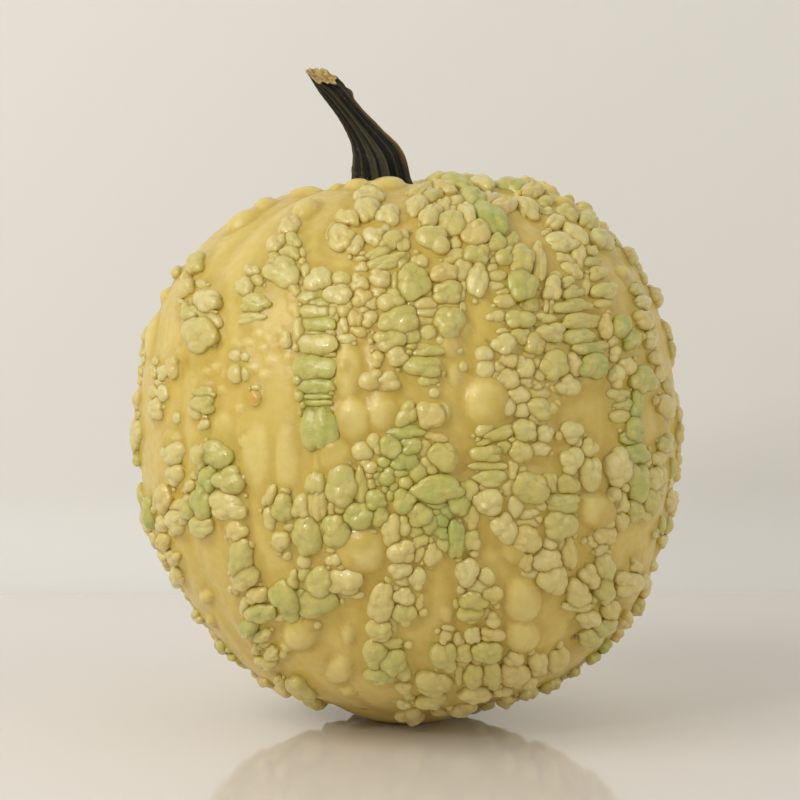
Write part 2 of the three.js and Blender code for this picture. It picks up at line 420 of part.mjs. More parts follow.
// Warts where no front view reaches, drawn at random in wandering bands, the largest first
function hiddenWarts(placed) {
  const random = seededRandom(HIDDEN_SEED);
  const bandStep = (360 - 2 * HIDDEN_FROM) / HIDDEN_BANDS;
  const bands = [];
  for (let band = 0; band < HIDDEN_BANDS; band++) {
    bands.push({
      turn: (HIDDEN_FROM + bandStep * (band + 0.2 + 0.6 * random())) * RADIANS,
      width: BAND_HALF_WIDTH * (0.55 + 0.75 * random()),
      wander: 0.02 + 0.06 * random(),
      phase: 6.3 * random(),
      gap: 1.5 + 2.5 * random(),
      stretch: 0.75 + 0.75 * random(),
    });
  }
  const found = [];
  for (const [size, tries] of WARTS_PER_SIZE) {
    for (let trial = 0; trial < tries; trial++) {
      const band = bands[Math.floor(random() * HIDDEN_BANDS)];
      const tilt = Math.asin(-0.97 + 1.9 * random());
      const side = 2 * random() - 1;
      const scale = 0.85 + 0.35 * random();
      const lean = 0.7 * (random() - 0.5);
      const patch = 0.55 + 0.45 * Math.sin(band.gap * tilt * 2 + band.phase);
      const offset = side * band.width * patch / (WAIST_RADIUS * Math.max(0.3, Math.cos(tilt)));
      const turn = band.turn + band.wander * Math.sin(3 * tilt + band.phase) + offset;
      if (turn < HIDDEN_FROM * RADIANS || turn > (360 - HIDDEN_FROM) * RADIANS) continue;
      const direction = directionAt(turn, tilt);
      const point = skinPoint(direction);
      if (EYE.clone().sub(point).normalize().dot(direction) > HIDDEN_FACING) continue;
      if (Math.hypot(point.x - STEM_X, point.y) < SEAT_RADIUS + 7) continue;
      if (Math.hypot(point.x, point.y) < FLAT_SPOT_RADIUS + 10) continue;
      const wide = size * scale * Math.sqrt(band.stretch) / 2;
      const high = size * scale / Math.sqrt(band.stretch) / 2;
      const room = Math.sqrt(wide * high);
      const crowded = [...placed, ...found].some(
        (other) => other.point.distanceTo(point) < HIDDEN_CLEAR * (other.size + room));
      if (crowded) continue;
      const normal = skinNormal(point);
      const sideways = new THREE.Vector3().crossVectors(UP, normal).normalize();
      const halfA = new THREE.Vector2(Math.cos(lean), Math.sin(lean)).multiplyScalar(wide);
      const halfB = new THREE.Vector2(-Math.sin(lean), Math.cos(lean)).multiplyScalar(high);
      const height = Math.min(HIGHEST_WART, WART_RISE * 2 * Math.min(wide, high));
      found.push(makeWart(point, normal, sideways, halfA, halfB, height));
    }
  }
  return found;
}

// How far across a wart a point lies: 0 at its middle, 1 at its edge
function acrossWart(wart, point) {
  const offset = point.clone().sub(wart.point);
  const right = offset.dot(wart.sideways);
  const up = offset.dot(wart.upwards);
  const a = (right * wart.halfB.y - up * wart.halfB.x) / wart.det;
  const b = (up * wart.halfA.x - right * wart.halfA.y) / wart.det;
  return Math.hypot(a, b);
}

function domeHeight(wart, across) {
  return wart.height * Math.max(0, 1 - across ** 2.6) ** 0.6;
}

// The tallest wart over a point of the skin
function wartOver(warts, point) {
  let best = { height: 0, wart: null, across: 2 };
  for (const wart of warts) {
    if (wart.point.distanceToSquared(point) > 900) continue;
    const across = acrossWart(wart, point);
    const height = domeHeight(wart, across);
    if (height > best.height) best = { height, wart, across };
  }
  return best;
}

// A point of the skin at a share of a wart's half lengths, round from its first one
function pointOnWart(wart, share, turn) {
  const right = wart.halfA.x * Math.cos(turn) + wart.halfB.x * Math.sin(turn);
  const up = wart.halfA.y * Math.cos(turn) + wart.halfB.y * Math.sin(turn);
  return wart.point.clone()
    .addScaledVector(wart.sideways, right * share)
    .addScaledVector(wart.upwards, up * share);
}

// The fruit: rind and warts in one closed skin
function fruitGeometry() {
  const listed = FRONT_WARTS.map((row) => seenWart(row, WART_RISE))
    .filter((wart) => 2 * wart.size >= FINEST_WART);
  const low = LOW_WARTS.map((row) => seenWart(row, LOW_WART_RISE))
    .filter((wart) => 2 * wart.size >= FINEST_WART);
  const blisters = BLISTERS.map((row) => seenWart(row, BLISTER_RISE));
  const seen = [...listed, ...low, ...blisters];
  const warts = [...seen, ...hiddenWarts(seen)].sort((a, b) => b.size - a.size);

  const directions = [];
  const skins = [];
  const creases = [];
  const place = (point, fromOthers, crease = false, fromCreases = fromOthers) => {
    const direction = point.clone().sub(MIDDLE_POINT).normalize();
    const skin = skinPoint(direction);
    const crowded = skins.some(
      (other, i) => other.distanceTo(skin) < (creases[i] ? fromCreases : fromOthers));
    if (crowded) return;
    directions.push(direction);
    skins.push(skin);
    creases.push(crease);
  };
  const placeRing = (x, y, z, radius, count) => {
    for (let i = 0; i < count; i++) {
      const turn = (i + 0.5) / count * 2 * Math.PI;
      place(new THREE.Vector3(x + Math.cos(turn) * radius, y + Math.sin(turn) * radius, z), TOP_SPACING);
    }
  };
  placeRing(0, 0, 0, FLAT_SPOT_RADIUS, 6);
  placeRing(STEM_X, 0, SEAT_HEIGHT, SEAT_RADIUS - 0.2, SEAT_CORNERS);
  placeRing(STEM_X, 0, SEAT_HEIGHT, SEAT_RADIUS / 2, 6);
  placeRing(STEM_X, 0, SEAT_HEIGHT + LIP_RISE, LIP_RADIUS, SEAT_CORNERS);
  const seated = skins.length;
  const clear = (point) => {
    const offStem = Math.hypot(point.x - STEM_X, point.y) > SEAT_RADIUS + 3;
    const offSpot = Math.hypot(point.x, point.y) > FLAT_SPOT_RADIUS + 2;
    return point.z > WAIST_HEIGHT ? offStem : offSpot;
  };
  for (const wart of warts) {
    const over = wartOver(warts, wart.point);
    if (over.wart !== wart && over.across < BURIED) continue;
    if (2 * wart.size > WIDE_WART && clear(wart.point)) place(wart.point, TOP_SPACING);
    const sides = 2 * wart.size > WIDE_WART ? WIDE_WART_SIDES : SMALL_WART_SIDES;
    for (let side = 0; side < sides; side++) {
      const point = pointOnWart(wart, TOP_SHARE, side / sides * 2 * Math.PI);
      if (clear(point) && wartOver(warts, point).wart === wart) place(point, TOP_SPACING);
    }
  }
  const placeCrease = (point) => {
    const open = clear(point) && wartOver(warts, point).across > BURIED;
    if (open) place(point, CREASE_GAP, true, CREASE_SPACING);
  };
  warts.forEach((wart, i) => {
    for (const other of warts.slice(i + 1)) {
      const both = wart.size + other.size;
      if (wart.point.distanceTo(other.point) > NEIGHBOUR_REACH * both) continue;
      placeCrease(wart.point.clone().lerp(other.point, wart.size / both));
    }
  });
  for (const wart of warts) {
    for (let side = 0; side < WIDE_WART_SIDES; side++) {
      placeCrease(pointOnWart(wart, FOOT_SHARE, (side + 0.5) / WIDE_WART_SIDES * 2 * Math.PI));
    }
  }
  const fillers = Math.round(8 * Math.PI * WAIST_RADIUS ** 2 / SKIN_SPACING ** 2);
  for (let i = 0; i < fillers; i++) {
    const tilt = Math.asin(1 - 2 * (i + 0.5) / fillers);
    const point = skinPoint(directionAt(i * Math.PI * (1 + Math.sqrt(5)), tilt));
    if (clear(point)) place(point, SKIN_SPACING);
  }

  const corners = directions.map((direction, i) => {
    const share = creases[i] ? CREASE_SHARE : 1;
    const rise = i < seated ? 0 : wartOver(warts, skins[i]).height * share;
    const corner = skins[i].clone().addScaledVector(direction, rise);
    corner.z = Math.max(0, corner.z);
    return corner;
  });
  const hull = new ConvexHull().setFromPoints(directions);
  const order = new Map(directions.map((direction, i) => [direction, i]));
  const index = [];
  for (const face of hull.faces) {
    let edge = face.edge;
    do {
      index.push(order.get(edge.head().point));
      edge = edge.next;
    } while (edge !== face.edge);
  }
  const geometry = new THREE.BufferGeometry().setFromPoints(corners);
  geometry.setIndex(index);
  geometry.computeVertexNormals();
  return geometry;
}

// The stem: ridged all the way, flared at the foot and at the cut, and closed at both ends
function stemGeometry() {
  const line = new THREE.CatmullRomCurve3(STEM_LINE.map(([x, y, z]) => new THREE.Vector3(x, y, z)));
  const widths = new THREE.CatmullRomCurve3(
    STEM_LINE.map(([, , , width], i) => new THREE.Vector3(i, width, 0)));
  const cutRight = new THREE.Vector3(...CUT_RIGHT);
  const cutBack = new THREE.Vector3(...CUT_BACK);
  const foot = SEAT_HEIGHT + STEM_GAP;
  const corners = [];
  const index = [];
  for (let step = 0; step <= STEM_STEPS; step++) {
    const along = step / STEM_STEPS;
    const middle = line.getPoint(along);
    const ahead = line.getTangent(along);
    const radius = widths.getPoint(along).y / 2;
    const cut = smoothStep(CUT_FROM, 1, along);
    const right = new THREE.Vector3(1, 0, 0).addScaledVector(ahead, -ahead.x).normalize();
    const back = new THREE.Vector3().crossVectors(ahead, right);
    right.lerp(cutRight, cut).normalize();
    back.lerp(cutBack, cut).normalize();
    for (let side = 0; side < STEM_SIDES; side++) {
      const turn = side / STEM_SIDES * 2 * Math.PI;
      const twisted = turn + STEM_TWIST * along;
      const ridges = 0.5 + 0.5 * Math.cos(STEM_RIDGES * twisted);
      const fine = 0.5 + 0.5 * Math.cos(STEM_FINE_RIDGES * twisted + 1);
      const reach = radius * (1 - STEM_RIDGE_DEPTH * (1 - ridges) - STEM_FINE_DEPTH * (1 - fine));
      const corner = middle.clone()
        .addScaledVector(right, reach * Math.cos(turn))
        .addScaledVector(back, reach * Math.sin(turn));
      corner.z = step === 0 ? foot : Math.max(foot + 0.2 * step, corner.z);
      corners.push(corner);
    }
  }
  const ringStart = (step) => step * STEM_SIDES;
  for (let step = 0; step < STEM_STEPS; step++) {
    for (let side = 0; side < STEM_SIDES; side++) {
      const next = (side + 1) % STEM_SIDES;
      const [a, b] = [ringStart(step) + side, ringStart(step) + next];
      const [c, d] = [ringStart(step + 1) + side, ringStart(step + 1) + next];
      index.push(a, b, d, a, d, c);
    }
  }
  const footMiddle = corners.push(new THREE.Vector3(STEM_LINE[0][0], STEM_LINE[0][1], foot)) - 1;
  const tipMiddle = corners.push(line.getPoint(1).addScaledVector(UP, -TIP_HOLLOW)) - 1;
  for (let side = 0; side < STEM_SIDES; side++) {
    const next = (side + 1) % STEM_SIDES;
    index.push(footMiddle, next, side);
    index.push(tipMiddle, ringStart(STEM_STEPS) + side, ringStart(STEM_STEPS) + next);
  }
  const geometry = new THREE.BufferGeometry().setFromPoints(corners);
  geometry.setIndex(index);
  geometry.computeVertexNormals();
  return geometry;
}

const rind = new THREE.MeshStandardMaterial({ color: 0xe0d08c, roughness: 0.45, metalness: 0 });
const bark = new THREE.MeshStandardMaterial({ color: 0x302b20, roughness: 0.8, metalness: 0 });

const fruit = new THREE.Mesh(fruitGeometry(), rind);
fruit.name = "fruit";

const stem = new THREE.Mesh(stemGeometry(), bark);
stem.name = "stem";

const squash = new THREE.Group();
squash.add(fruit, stem);

export default squash;
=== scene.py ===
import math

import bpy
import numpy as np
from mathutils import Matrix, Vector
from mathutils.kdtree import KDTree


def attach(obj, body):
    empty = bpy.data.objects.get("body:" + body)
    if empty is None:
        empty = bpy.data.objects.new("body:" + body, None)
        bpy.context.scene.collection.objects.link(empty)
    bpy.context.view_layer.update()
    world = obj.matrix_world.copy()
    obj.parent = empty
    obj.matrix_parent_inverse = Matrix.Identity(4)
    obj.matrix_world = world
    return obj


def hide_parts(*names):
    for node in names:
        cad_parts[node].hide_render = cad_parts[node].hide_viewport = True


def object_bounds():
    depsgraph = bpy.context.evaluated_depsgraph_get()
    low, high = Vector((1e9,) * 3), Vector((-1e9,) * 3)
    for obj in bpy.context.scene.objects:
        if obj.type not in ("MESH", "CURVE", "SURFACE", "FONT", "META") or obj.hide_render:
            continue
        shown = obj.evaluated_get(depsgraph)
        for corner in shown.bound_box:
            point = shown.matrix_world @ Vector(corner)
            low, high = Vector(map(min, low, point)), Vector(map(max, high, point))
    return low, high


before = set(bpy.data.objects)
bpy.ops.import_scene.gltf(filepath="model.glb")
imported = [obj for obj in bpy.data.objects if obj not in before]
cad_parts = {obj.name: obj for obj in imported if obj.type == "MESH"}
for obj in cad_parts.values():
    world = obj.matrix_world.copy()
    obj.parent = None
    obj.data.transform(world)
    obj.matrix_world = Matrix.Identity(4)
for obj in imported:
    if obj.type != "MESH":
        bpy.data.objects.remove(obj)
cad_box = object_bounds()

# The squash is worked out in millimetres and made in metres.
MM = 0.001

# The bare fruit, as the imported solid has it: two rounded halves that meet at the waist
WAIST_RADIUS = 130.8
WAIST_HEIGHT = 139
CROWN_RISE = 126
CROWN_POWER = 2.52
FOOT_DROP = 139.2
FOOT_TUCK = 4.4
FOOT_POWER = 2.07
SHOULDER = np.array([0.54, 0, 0.84]) / math.hypot(0.54, 0.84)
SHOULDER_EDGE = 0.962
SHOULDER_RISE = 4.6
FOOT_LEAN = 3.4
FURROWS = 11
FURROW_DEPTH = 1.3
FURROW_TURN = 0.2
STEM_X = -13
DIP_DEPTH = 11
DIP_RADIUS = 40
SEAT_RADIUS = 22
FLAT_SPOT_RADIUS = 19
SEAT_HEIGHT = WAIST_HEIGHT + CROWN_RISE - DIP_DEPTH

# The wart bands where no front view reaches
WART_RISE = 0.4
HIGHEST_WART = 4.6
WART_SPREAD = 1.06
HIDDEN_FROM = 64
HIDDEN_FACING = -0.12
HIDDEN_BANDS = 9
HIDDEN_SEED = 20
HIDDEN_CLEAR = 0.88
BAND_HALF_WIDTH = 24
WARTS_PER_SIZE = [[18, 900], [15, 900], [12, 700]]

# The front view that the tables below are listed in. The camera stands at the same place.
PICTURE_MIDDLE = 400
PICTURE_SIZE = 800
EYE_DISTANCE = 1294
EYE_HEIGHT = 263
EYE_RIGHT = -3.7
LOOK_DOWN = 4.66
PICTURE_SCALE = 2649

# The room, in metres
BACKDROP_FROM = 0.40
BACKDROP_BEND = 0.06
BACKDROP_TURN = 0.03

# Every wart on the front: how far right and down it lies in the view, its width and height there, and
# how far it leans, in degrees

# The left limb, seen edge on
LEFT_LIMB = [
    [143, 360, 8, 8], [136, 400, 10, 18], [137, 414, 10, 12], [136, 435, 10, 28], [142, 432, 10, 18],
    [140, 455, 8, 20], [141, 500, 8, 28], [147, 522, 10, 24], [153, 512, 12, 26], [155, 540, 8, 16],
    [158, 558, 8, 14], [163, 568, 8, 12], [172, 584, 12, 14], [177, 272, 10, 12], [197, 616, 14, 14],
    [222, 648, 14, 14], [229, 658, 14, 10], [240, 666, 12, 6], [266, 687, 16, 8], [157, 362, 7, 8],
    [156, 372, 8, 12], [165, 373, 12, 14], [162, 383, 10, 8], [155, 392, 8, 12], [165, 393, 10, 14],
    [158, 409, 14, 18], [175, 367, 10, 20], [176, 453, 20, 20], [178, 474, 14, 20], [178, 418, 6, 10],
    [167, 499, 16, 24], [179, 505, 14, 12, -45], [180, 520, 18, 22], [165, 524, 12, 16],
    [167, 541, 14, 18], [176, 556, 14, 14], [180, 574, 18, 14, 60],
]
# The left shoulder and cheek
LEFT_CHEEK = [
    [198, 266, 22, 16, -65], [190, 287, 22, 13, -75], [203, 285, 10, 8], [184, 303, 10, 8],
    [195, 303, 10, 10], [192, 313, 16, 16], [209, 302, 24, 20], [208, 314, 20, 8], [216, 322, 12, 14],
    [206, 320, 16, 6], [202, 335, 28, 30], [190, 327, 8, 12], [217, 338, 8, 16], [206, 394, 18, 12],
    [206, 404, 20, 18], [196, 412, 14, 9, 60], [205, 425, 10, 12], [207, 417, 5, 5], [237, 356, 12, 10],
    [246, 357, 8, 8], [237, 374, 12, 16], [246, 374, 8, 12], [257, 388, 8, 6], [219, 455, 26, 24],
    [204, 457, 14, 24], [211, 478, 14, 24], [197, 475, 8, 8], [203, 472, 10, 10], [231, 480, 26, 24],
    [244, 480, 7, 10], [213, 491, 10, 7], [203, 484, 10, 8], [204, 500, 18, 34], [191, 487, 10, 14],
    [192, 508, 12, 22], [203, 525, 20, 18], [230, 506, 34, 24, 20], [238, 530, 18, 18],
    [243, 558, 20, 30], [246, 575, 22, 22], [238, 583, 9, 16], [259, 593, 18, 16], [246, 606, 8, 16],
    [262, 611, 24, 16], [252, 626, 16, 18], [263, 633, 18, 11], [266, 643, 10, 6], [257, 648, 9, 14],
    [274, 651, 14, 12], [268, 660, 20, 12], [284, 652, 8, 8],
]
# The band left of the middle
LEFT_BAND = [
    [256, 398, 10, 14],
    [291, 229, 20, 13, -35], [278, 246, 20, 12, -48], [294, 243, 14, 14], [291, 256, 18, 12],
    [276, 260, 14, 10], [284, 274, 30, 26], [303, 254, 6, 8], [303, 263, 7, 7], [306, 272, 8, 14],
    [301, 282, 8, 8], [295, 290, 14, 12], [253, 272, 12, 12], [247, 288, 16, 16], [257, 283, 14, 12],
    [256, 304, 26, 15, -10], [252, 318, 24, 9, -10], [299, 331, 10, 22], [287, 340, 13, 14],
    [270, 497, 22, 11, -75], [271, 518, 19, 12, 60], [285, 492, 10, 8], [284, 507, 18, 24],
    [303, 507, 20, 22], [278, 515, 6, 10], [291, 527, 12, 8], [293, 536, 8, 6], [309, 534, 24, 34],
    [323, 531, 6, 14], [282, 540, 16, 18], [280, 550, 7, 9], [288, 555, 8, 8], [305, 561, 12, 12],
    [294, 579, 13, 16], [306, 574, 13, 12], [286, 598, 38, 22, 55], [281, 616, 14, 7],
    [321, 582, 24, 26], [316, 600, 38, 26], [301, 594, 12, 10], [317, 624, 8, 6], [281, 679, 12, 12],
    [284, 690, 18, 10], [302, 686, 30, 16, 42], [314, 701, 22, 13],
]
# The ladder of cross ridges beside the bare strip
LADDER = [
    [319, 282, 26, 18, -30], [313, 297, 26, 12, -12], [319, 304, 20, 10], [316, 312, 26, 12],
    [318, 325, 32, 12], [331, 334, 9, 8], [316, 335, 24, 6], [318, 345, 34, 18], [330, 355, 12, 6],
    [316, 368, 38, 20], [317, 386, 32, 13], [318, 397, 25, 5], [318, 403, 26, 6], [319, 414, 26, 12],
    [321, 429, 32, 34], [317, 484, 18, 20], [319, 503, 18, 28], [327, 482, 6, 12],
]
# The middle, from the crown down
MIDDLE = [
    [332, 232, 16, 8, -60], [348, 222, 20, 13], [343, 240, 24, 20, -20], [370, 199, 24, 20],
    [368, 212, 22, 18], [388, 218, 22, 15], [386, 230, 8, 7], [356, 248, 18, 14, -40], [362, 255, 11, 4],
    [362, 260, 11, 4], [362, 269, 12, 11], [375, 239, 20, 16], [392, 243, 24, 14, -20],
    [380, 254, 26, 11, -25], [388, 263, 36, 12, -15], [380, 280, 20, 16], [396, 283, 9, 18],
    [403, 243, 14, 18], [404, 262, 12, 14], [360, 285, 16, 18], [342, 280, 16, 12], [339, 296, 24, 18],
    [363, 299, 18, 15, -45], [378, 294, 18, 10], [372, 304, 14, 11], [392, 303, 24, 20],
    [346, 310, 14, 16], [334, 312, 9, 9], [338, 318, 5, 9], [356, 320, 13, 20], [345, 326, 11, 14],
    [370, 320, 16, 14], [358, 332, 15, 12], [347, 339, 16, 9], [365, 311, 10, 6], [378, 360, 14, 14],
    [373, 381, 22, 20], [388, 382, 24, 18], [391, 340, 28, 20], [385, 348, 14, 8], [343, 484, 28, 34],
    [361, 487, 13, 32], [331, 497, 10, 12], [332, 508, 14, 12], [341, 506, 12, 13], [363, 451, 18, 16],
    [369, 466, 16, 14], [376, 444, 16, 18], [391, 446, 20, 22], [384, 462, 12, 10], [379, 469, 8, 5],
    [370, 475, 8, 6], [388, 476, 18, 16], [378, 476, 9, 8], [372, 484, 9, 10], [380, 482, 10, 8],
    [373, 491, 8, 4], [385, 489, 6, 8], [376, 500, 22, 18], [381, 515, 16, 20], [360, 515, 26, 22],
    [351, 503, 8, 7], [351, 509, 6, 6], [337, 530, 24, 28], [337, 544, 16, 8], [332, 549, 10, 6],
    [363, 532, 26, 10], [335, 559, 14, 13], [346, 558, 10, 14], [342, 567, 8, 8], [346, 580, 30, 22],
    [352, 592, 22, 11], [382, 602, 36, 22, -70], [380, 627, 24, 18], [391, 624, 12, 16],
    [389, 642, 28, 9], [375, 652, 20, 24], [393, 660, 24, 20], [381, 672, 24, 14],
]
# The middle right, from the crown to the waist
CENTRE_UPPER = [
    [425, 194, 28, 13, -20], [417, 208, 20, 18], [430, 199, 20, 14], [436, 206, 8, 10],
    [443, 192, 24, 12, 10], [429, 219, 20, 16, -20], [421, 226, 5, 5], [426, 231, 6, 5],
    [444, 208, 14, 16], [457, 203, 14, 9], [453, 211, 8, 7], [467, 217, 24, 14, 55], [477, 224, 6, 5],
    [433, 241, 28, 20, 25], [452, 227, 26, 20], [456, 244, 14, 13], [476, 235, 26, 20],
    [478, 246, 12, 6], [486, 249, 8, 7], [458, 258, 30, 13, -15], [475, 257, 22, 18], [492, 254, 8, 7],
    [488, 257, 6, 8], [493, 262, 8, 7], [444, 275, 24, 18], [462, 272, 18, 18], [477, 282, 18, 30],
    [446, 294, 26, 20], [461, 291, 12, 20], [419, 263, 14, 14], [413, 284, 28, 30], [426, 294, 12, 7],
    [411, 304, 10, 8], [425, 305, 20, 12], [427, 313, 20, 10], [399, 322, 34, 24, -10],
    [411, 336, 16, 14], [397, 357, 20, 18], [424, 322, 18, 10], [428, 333, 15, 12], [448, 323, 26, 26],
    [449, 308, 20, 7], [462, 308, 7, 10], [459, 351, 6, 6], [413, 347, 12, 6], [409, 353, 6, 6],
    [427, 351, 28, 12], [424, 367, 32, 20], [428, 381, 16, 13], [434, 393, 9, 9], [463, 367, 8, 9],
]
# The middle right, from the waist to the foot
CENTRE_LOWER = [
    [407, 415, 24, 17, -55], [430, 416, 24, 26], [442, 412, 13, 16], [407, 432, 34, 14],
    [410, 446, 20, 18], [405, 461, 26, 16], [400, 473, 14, 7], [394, 487, 8, 9], [391, 495, 8, 10],
    [406, 483, 12, 12], [405, 500, 22, 22], [435, 437, 20, 12, 15], [425, 449, 12, 16],
    [443, 456, 26, 26], [419, 472, 15, 18], [430, 464, 18, 16], [437, 489, 44, 24], [467, 490, 18, 20],
    [458, 503, 20, 20], [437, 505, 18, 8], [437, 512, 10, 6], [420, 514, 22, 20], [430, 523, 14, 18],
    [441, 520, 12, 14], [446, 511, 12, 12], [441, 532, 18, 12], [443, 544, 12, 12], [415, 531, 14, 11],
    [419, 541, 18, 12], [457, 522, 10, 8], [456, 538, 16, 32], [471, 516, 14, 24], [471, 539, 16, 20],
    [392, 529, 18, 26], [404, 524, 16, 18], [402, 551, 24, 22], [419, 553, 12, 14], [432, 554, 15, 20],
    [431, 540, 5, 7], [400, 568, 20, 15], [404, 579, 18, 10], [417, 578, 16, 19], [393, 585, 18, 8, 50],
    [404, 595, 19, 15], [420, 601, 10, 16], [404, 613, 20, 20], [403, 671, 14, 14], [404, 685, 16, 9],
    [410, 694, 11, 9], [415, 700, 8, 6], [404, 702, 14, 10], [411, 712, 24, 20], [432, 681, 30, 18],
    [432, 697, 30, 15], [443, 655, 22, 24], [444, 636, 13, 12], [448, 627, 11, 5],
]
# The broad green band right of the middle
GREEN_BAND = [
    [445, 180, 30, 16, -5], [457, 187, 32, 14, 38], [473, 202, 22, 20, 45], [490, 221, 36, 20, 42],
    [467, 179, 20, 10, 25], [482, 187, 24, 14, 45], [490, 201, 16, 14, -50], [511, 189, 30, 18, 10],
    [531, 195, 22, 12, -15], [522, 202, 10, 7], [503, 210, 24, 14, -25], [525, 211, 24, 14, 25],
    [538, 212, 10, 8], [496, 245, 16, 16], [511, 242, 16, 12, -60], [505, 259, 18, 16],
    [521, 262, 22, 26], [538, 264, 12, 34], [492, 269, 9, 8], [497, 277, 16, 9], [495, 287, 16, 9],
    [503, 293, 12, 8], [504, 302, 18, 12], [521, 287, 26, 28], [530, 306, 16, 12], [495, 317, 16, 12],
    [502, 332, 10, 6], [503, 346, 22, 20], [484, 355, 15, 14], [485, 369, 15, 16], [497, 377, 10, 12],
    [508, 360, 18, 16], [499, 368, 10, 14], [508, 379, 20, 18], [503, 406, 18, 20],
    [484, 429, 18, 11, -40], [499, 433, 30, 12, -20], [488, 441, 20, 8, -20], [500, 448, 18, 14],
    [487, 454, 28, 16], [488, 466, 32, 8], [489, 478, 30, 15], [512, 440, 8, 6], [515, 422, 5, 5],
    [519, 452, 20, 20], [512, 469, 12, 17], [521, 472, 10, 12], [511, 486, 20, 12, -35],
    [500, 491, 6, 5], [485, 488, 16, 7], [487, 501, 26, 22], [504, 527, 22, 27], [515, 506, 13, 20],
    [466, 571, 20, 24], [478, 585, 20, 13], [486, 577, 14, 16], [491, 593, 18, 16], [461, 589, 8, 8],
    [460, 597, 5, 6], [456, 603, 6, 8], [473, 599, 24, 18], [470, 609, 22, 16], [484, 612, 12, 8],
    [496, 604, 6, 6], [492, 618, 16, 13], [471, 618, 10, 8], [459, 640, 11, 17], [473, 634, 14, 16],
    [491, 633, 22, 13], [464, 651, 17, 15], [486, 649, 26, 17], [477, 660, 10, 8], [463, 661, 12, 6],
    [489, 661, 14, 10], [459, 674, 8, 18], [474, 673, 20, 20], [491, 672, 20, 22], [474, 691, 28, 13],
    [484, 698, 10, 8], [462, 705, 24, 15], [486, 703, 14, 12], [440, 709, 16, 8],
]
# The right shoulder and cheek
RIGHT_CHEEK = [
    [545, 203, 12, 9], [545, 214, 12, 10], [554, 225, 16, 14], [566, 216, 20, 13, 30],
    [572, 236, 30, 11, 42], [586, 224, 20, 20], [545, 235, 8, 6], [560, 246, 30, 16, 10],
    [577, 258, 12, 22, -10], [565, 262, 20, 8, 30], [570, 273, 20, 9, 42], [554, 277, 12, 8],
    [551, 290, 16, 21], [566, 284, 14, 10], [571, 294, 18, 12], [585, 285, 8, 18], [571, 307, 34, 13],
    [545, 306, 5, 14], [550, 307, 6, 14], [531, 305, 20, 10], [519, 321, 24, 18], [545, 319, 18, 11],
    [580, 322, 30, 14], [577, 338, 26, 16], [549, 334, 26, 18], [548, 349, 20, 12], [520, 337, 18, 16],
    [533, 345, 18, 20], [529, 355, 14, 10], [552, 366, 24, 26], [571, 365, 15, 22], [566, 386, 20, 20],
    [555, 391, 14, 6, 40], [536, 364, 8, 10], [539, 375, 11, 11], [523, 368, 16, 22],
    [526, 383, 22, 10], [535, 386, 12, 12], [517, 395, 20, 16], [538, 394, 18, 12], [521, 410, 14, 14],
    [540, 409, 26, 20], [537, 420, 16, 13], [523, 430, 20, 20], [532, 435, 8, 12], [543, 433, 16, 17],
    [570, 432, 18, 20], [590, 349, 28, 15], [591, 367, 28, 22], [586, 373, 9, 9], [538, 449, 20, 14],
    [575, 442, 10, 11], [570, 460, 18, 24], [587, 447, 14, 18], [588, 472, 20, 30],
    [530, 488, 30, 26], [548, 482, 14, 19], [566, 484, 20, 18], [561, 503, 32, 17], [558, 523, 28, 26],
    [540, 505, 11, 10], [527, 513, 20, 12], [526, 523, 22, 9], [525, 538, 26, 22], [549, 541, 16, 14],
    [561, 545, 8, 14], [567, 553, 13, 30], [545, 559, 24, 20], [524, 560, 14, 18], [530, 573, 16, 8],
    [552, 578, 24, 26], [565, 565, 12, 8], [512, 657, 18, 14], [513, 672, 26, 22], [501, 688, 18, 11],
    [536, 662, 16, 20], [526, 679, 18, 14], [554, 659, 28, 18, -60], [508, 698, 22, 14],
    [529, 694, 18, 15], [549, 684, 20, 12],
]
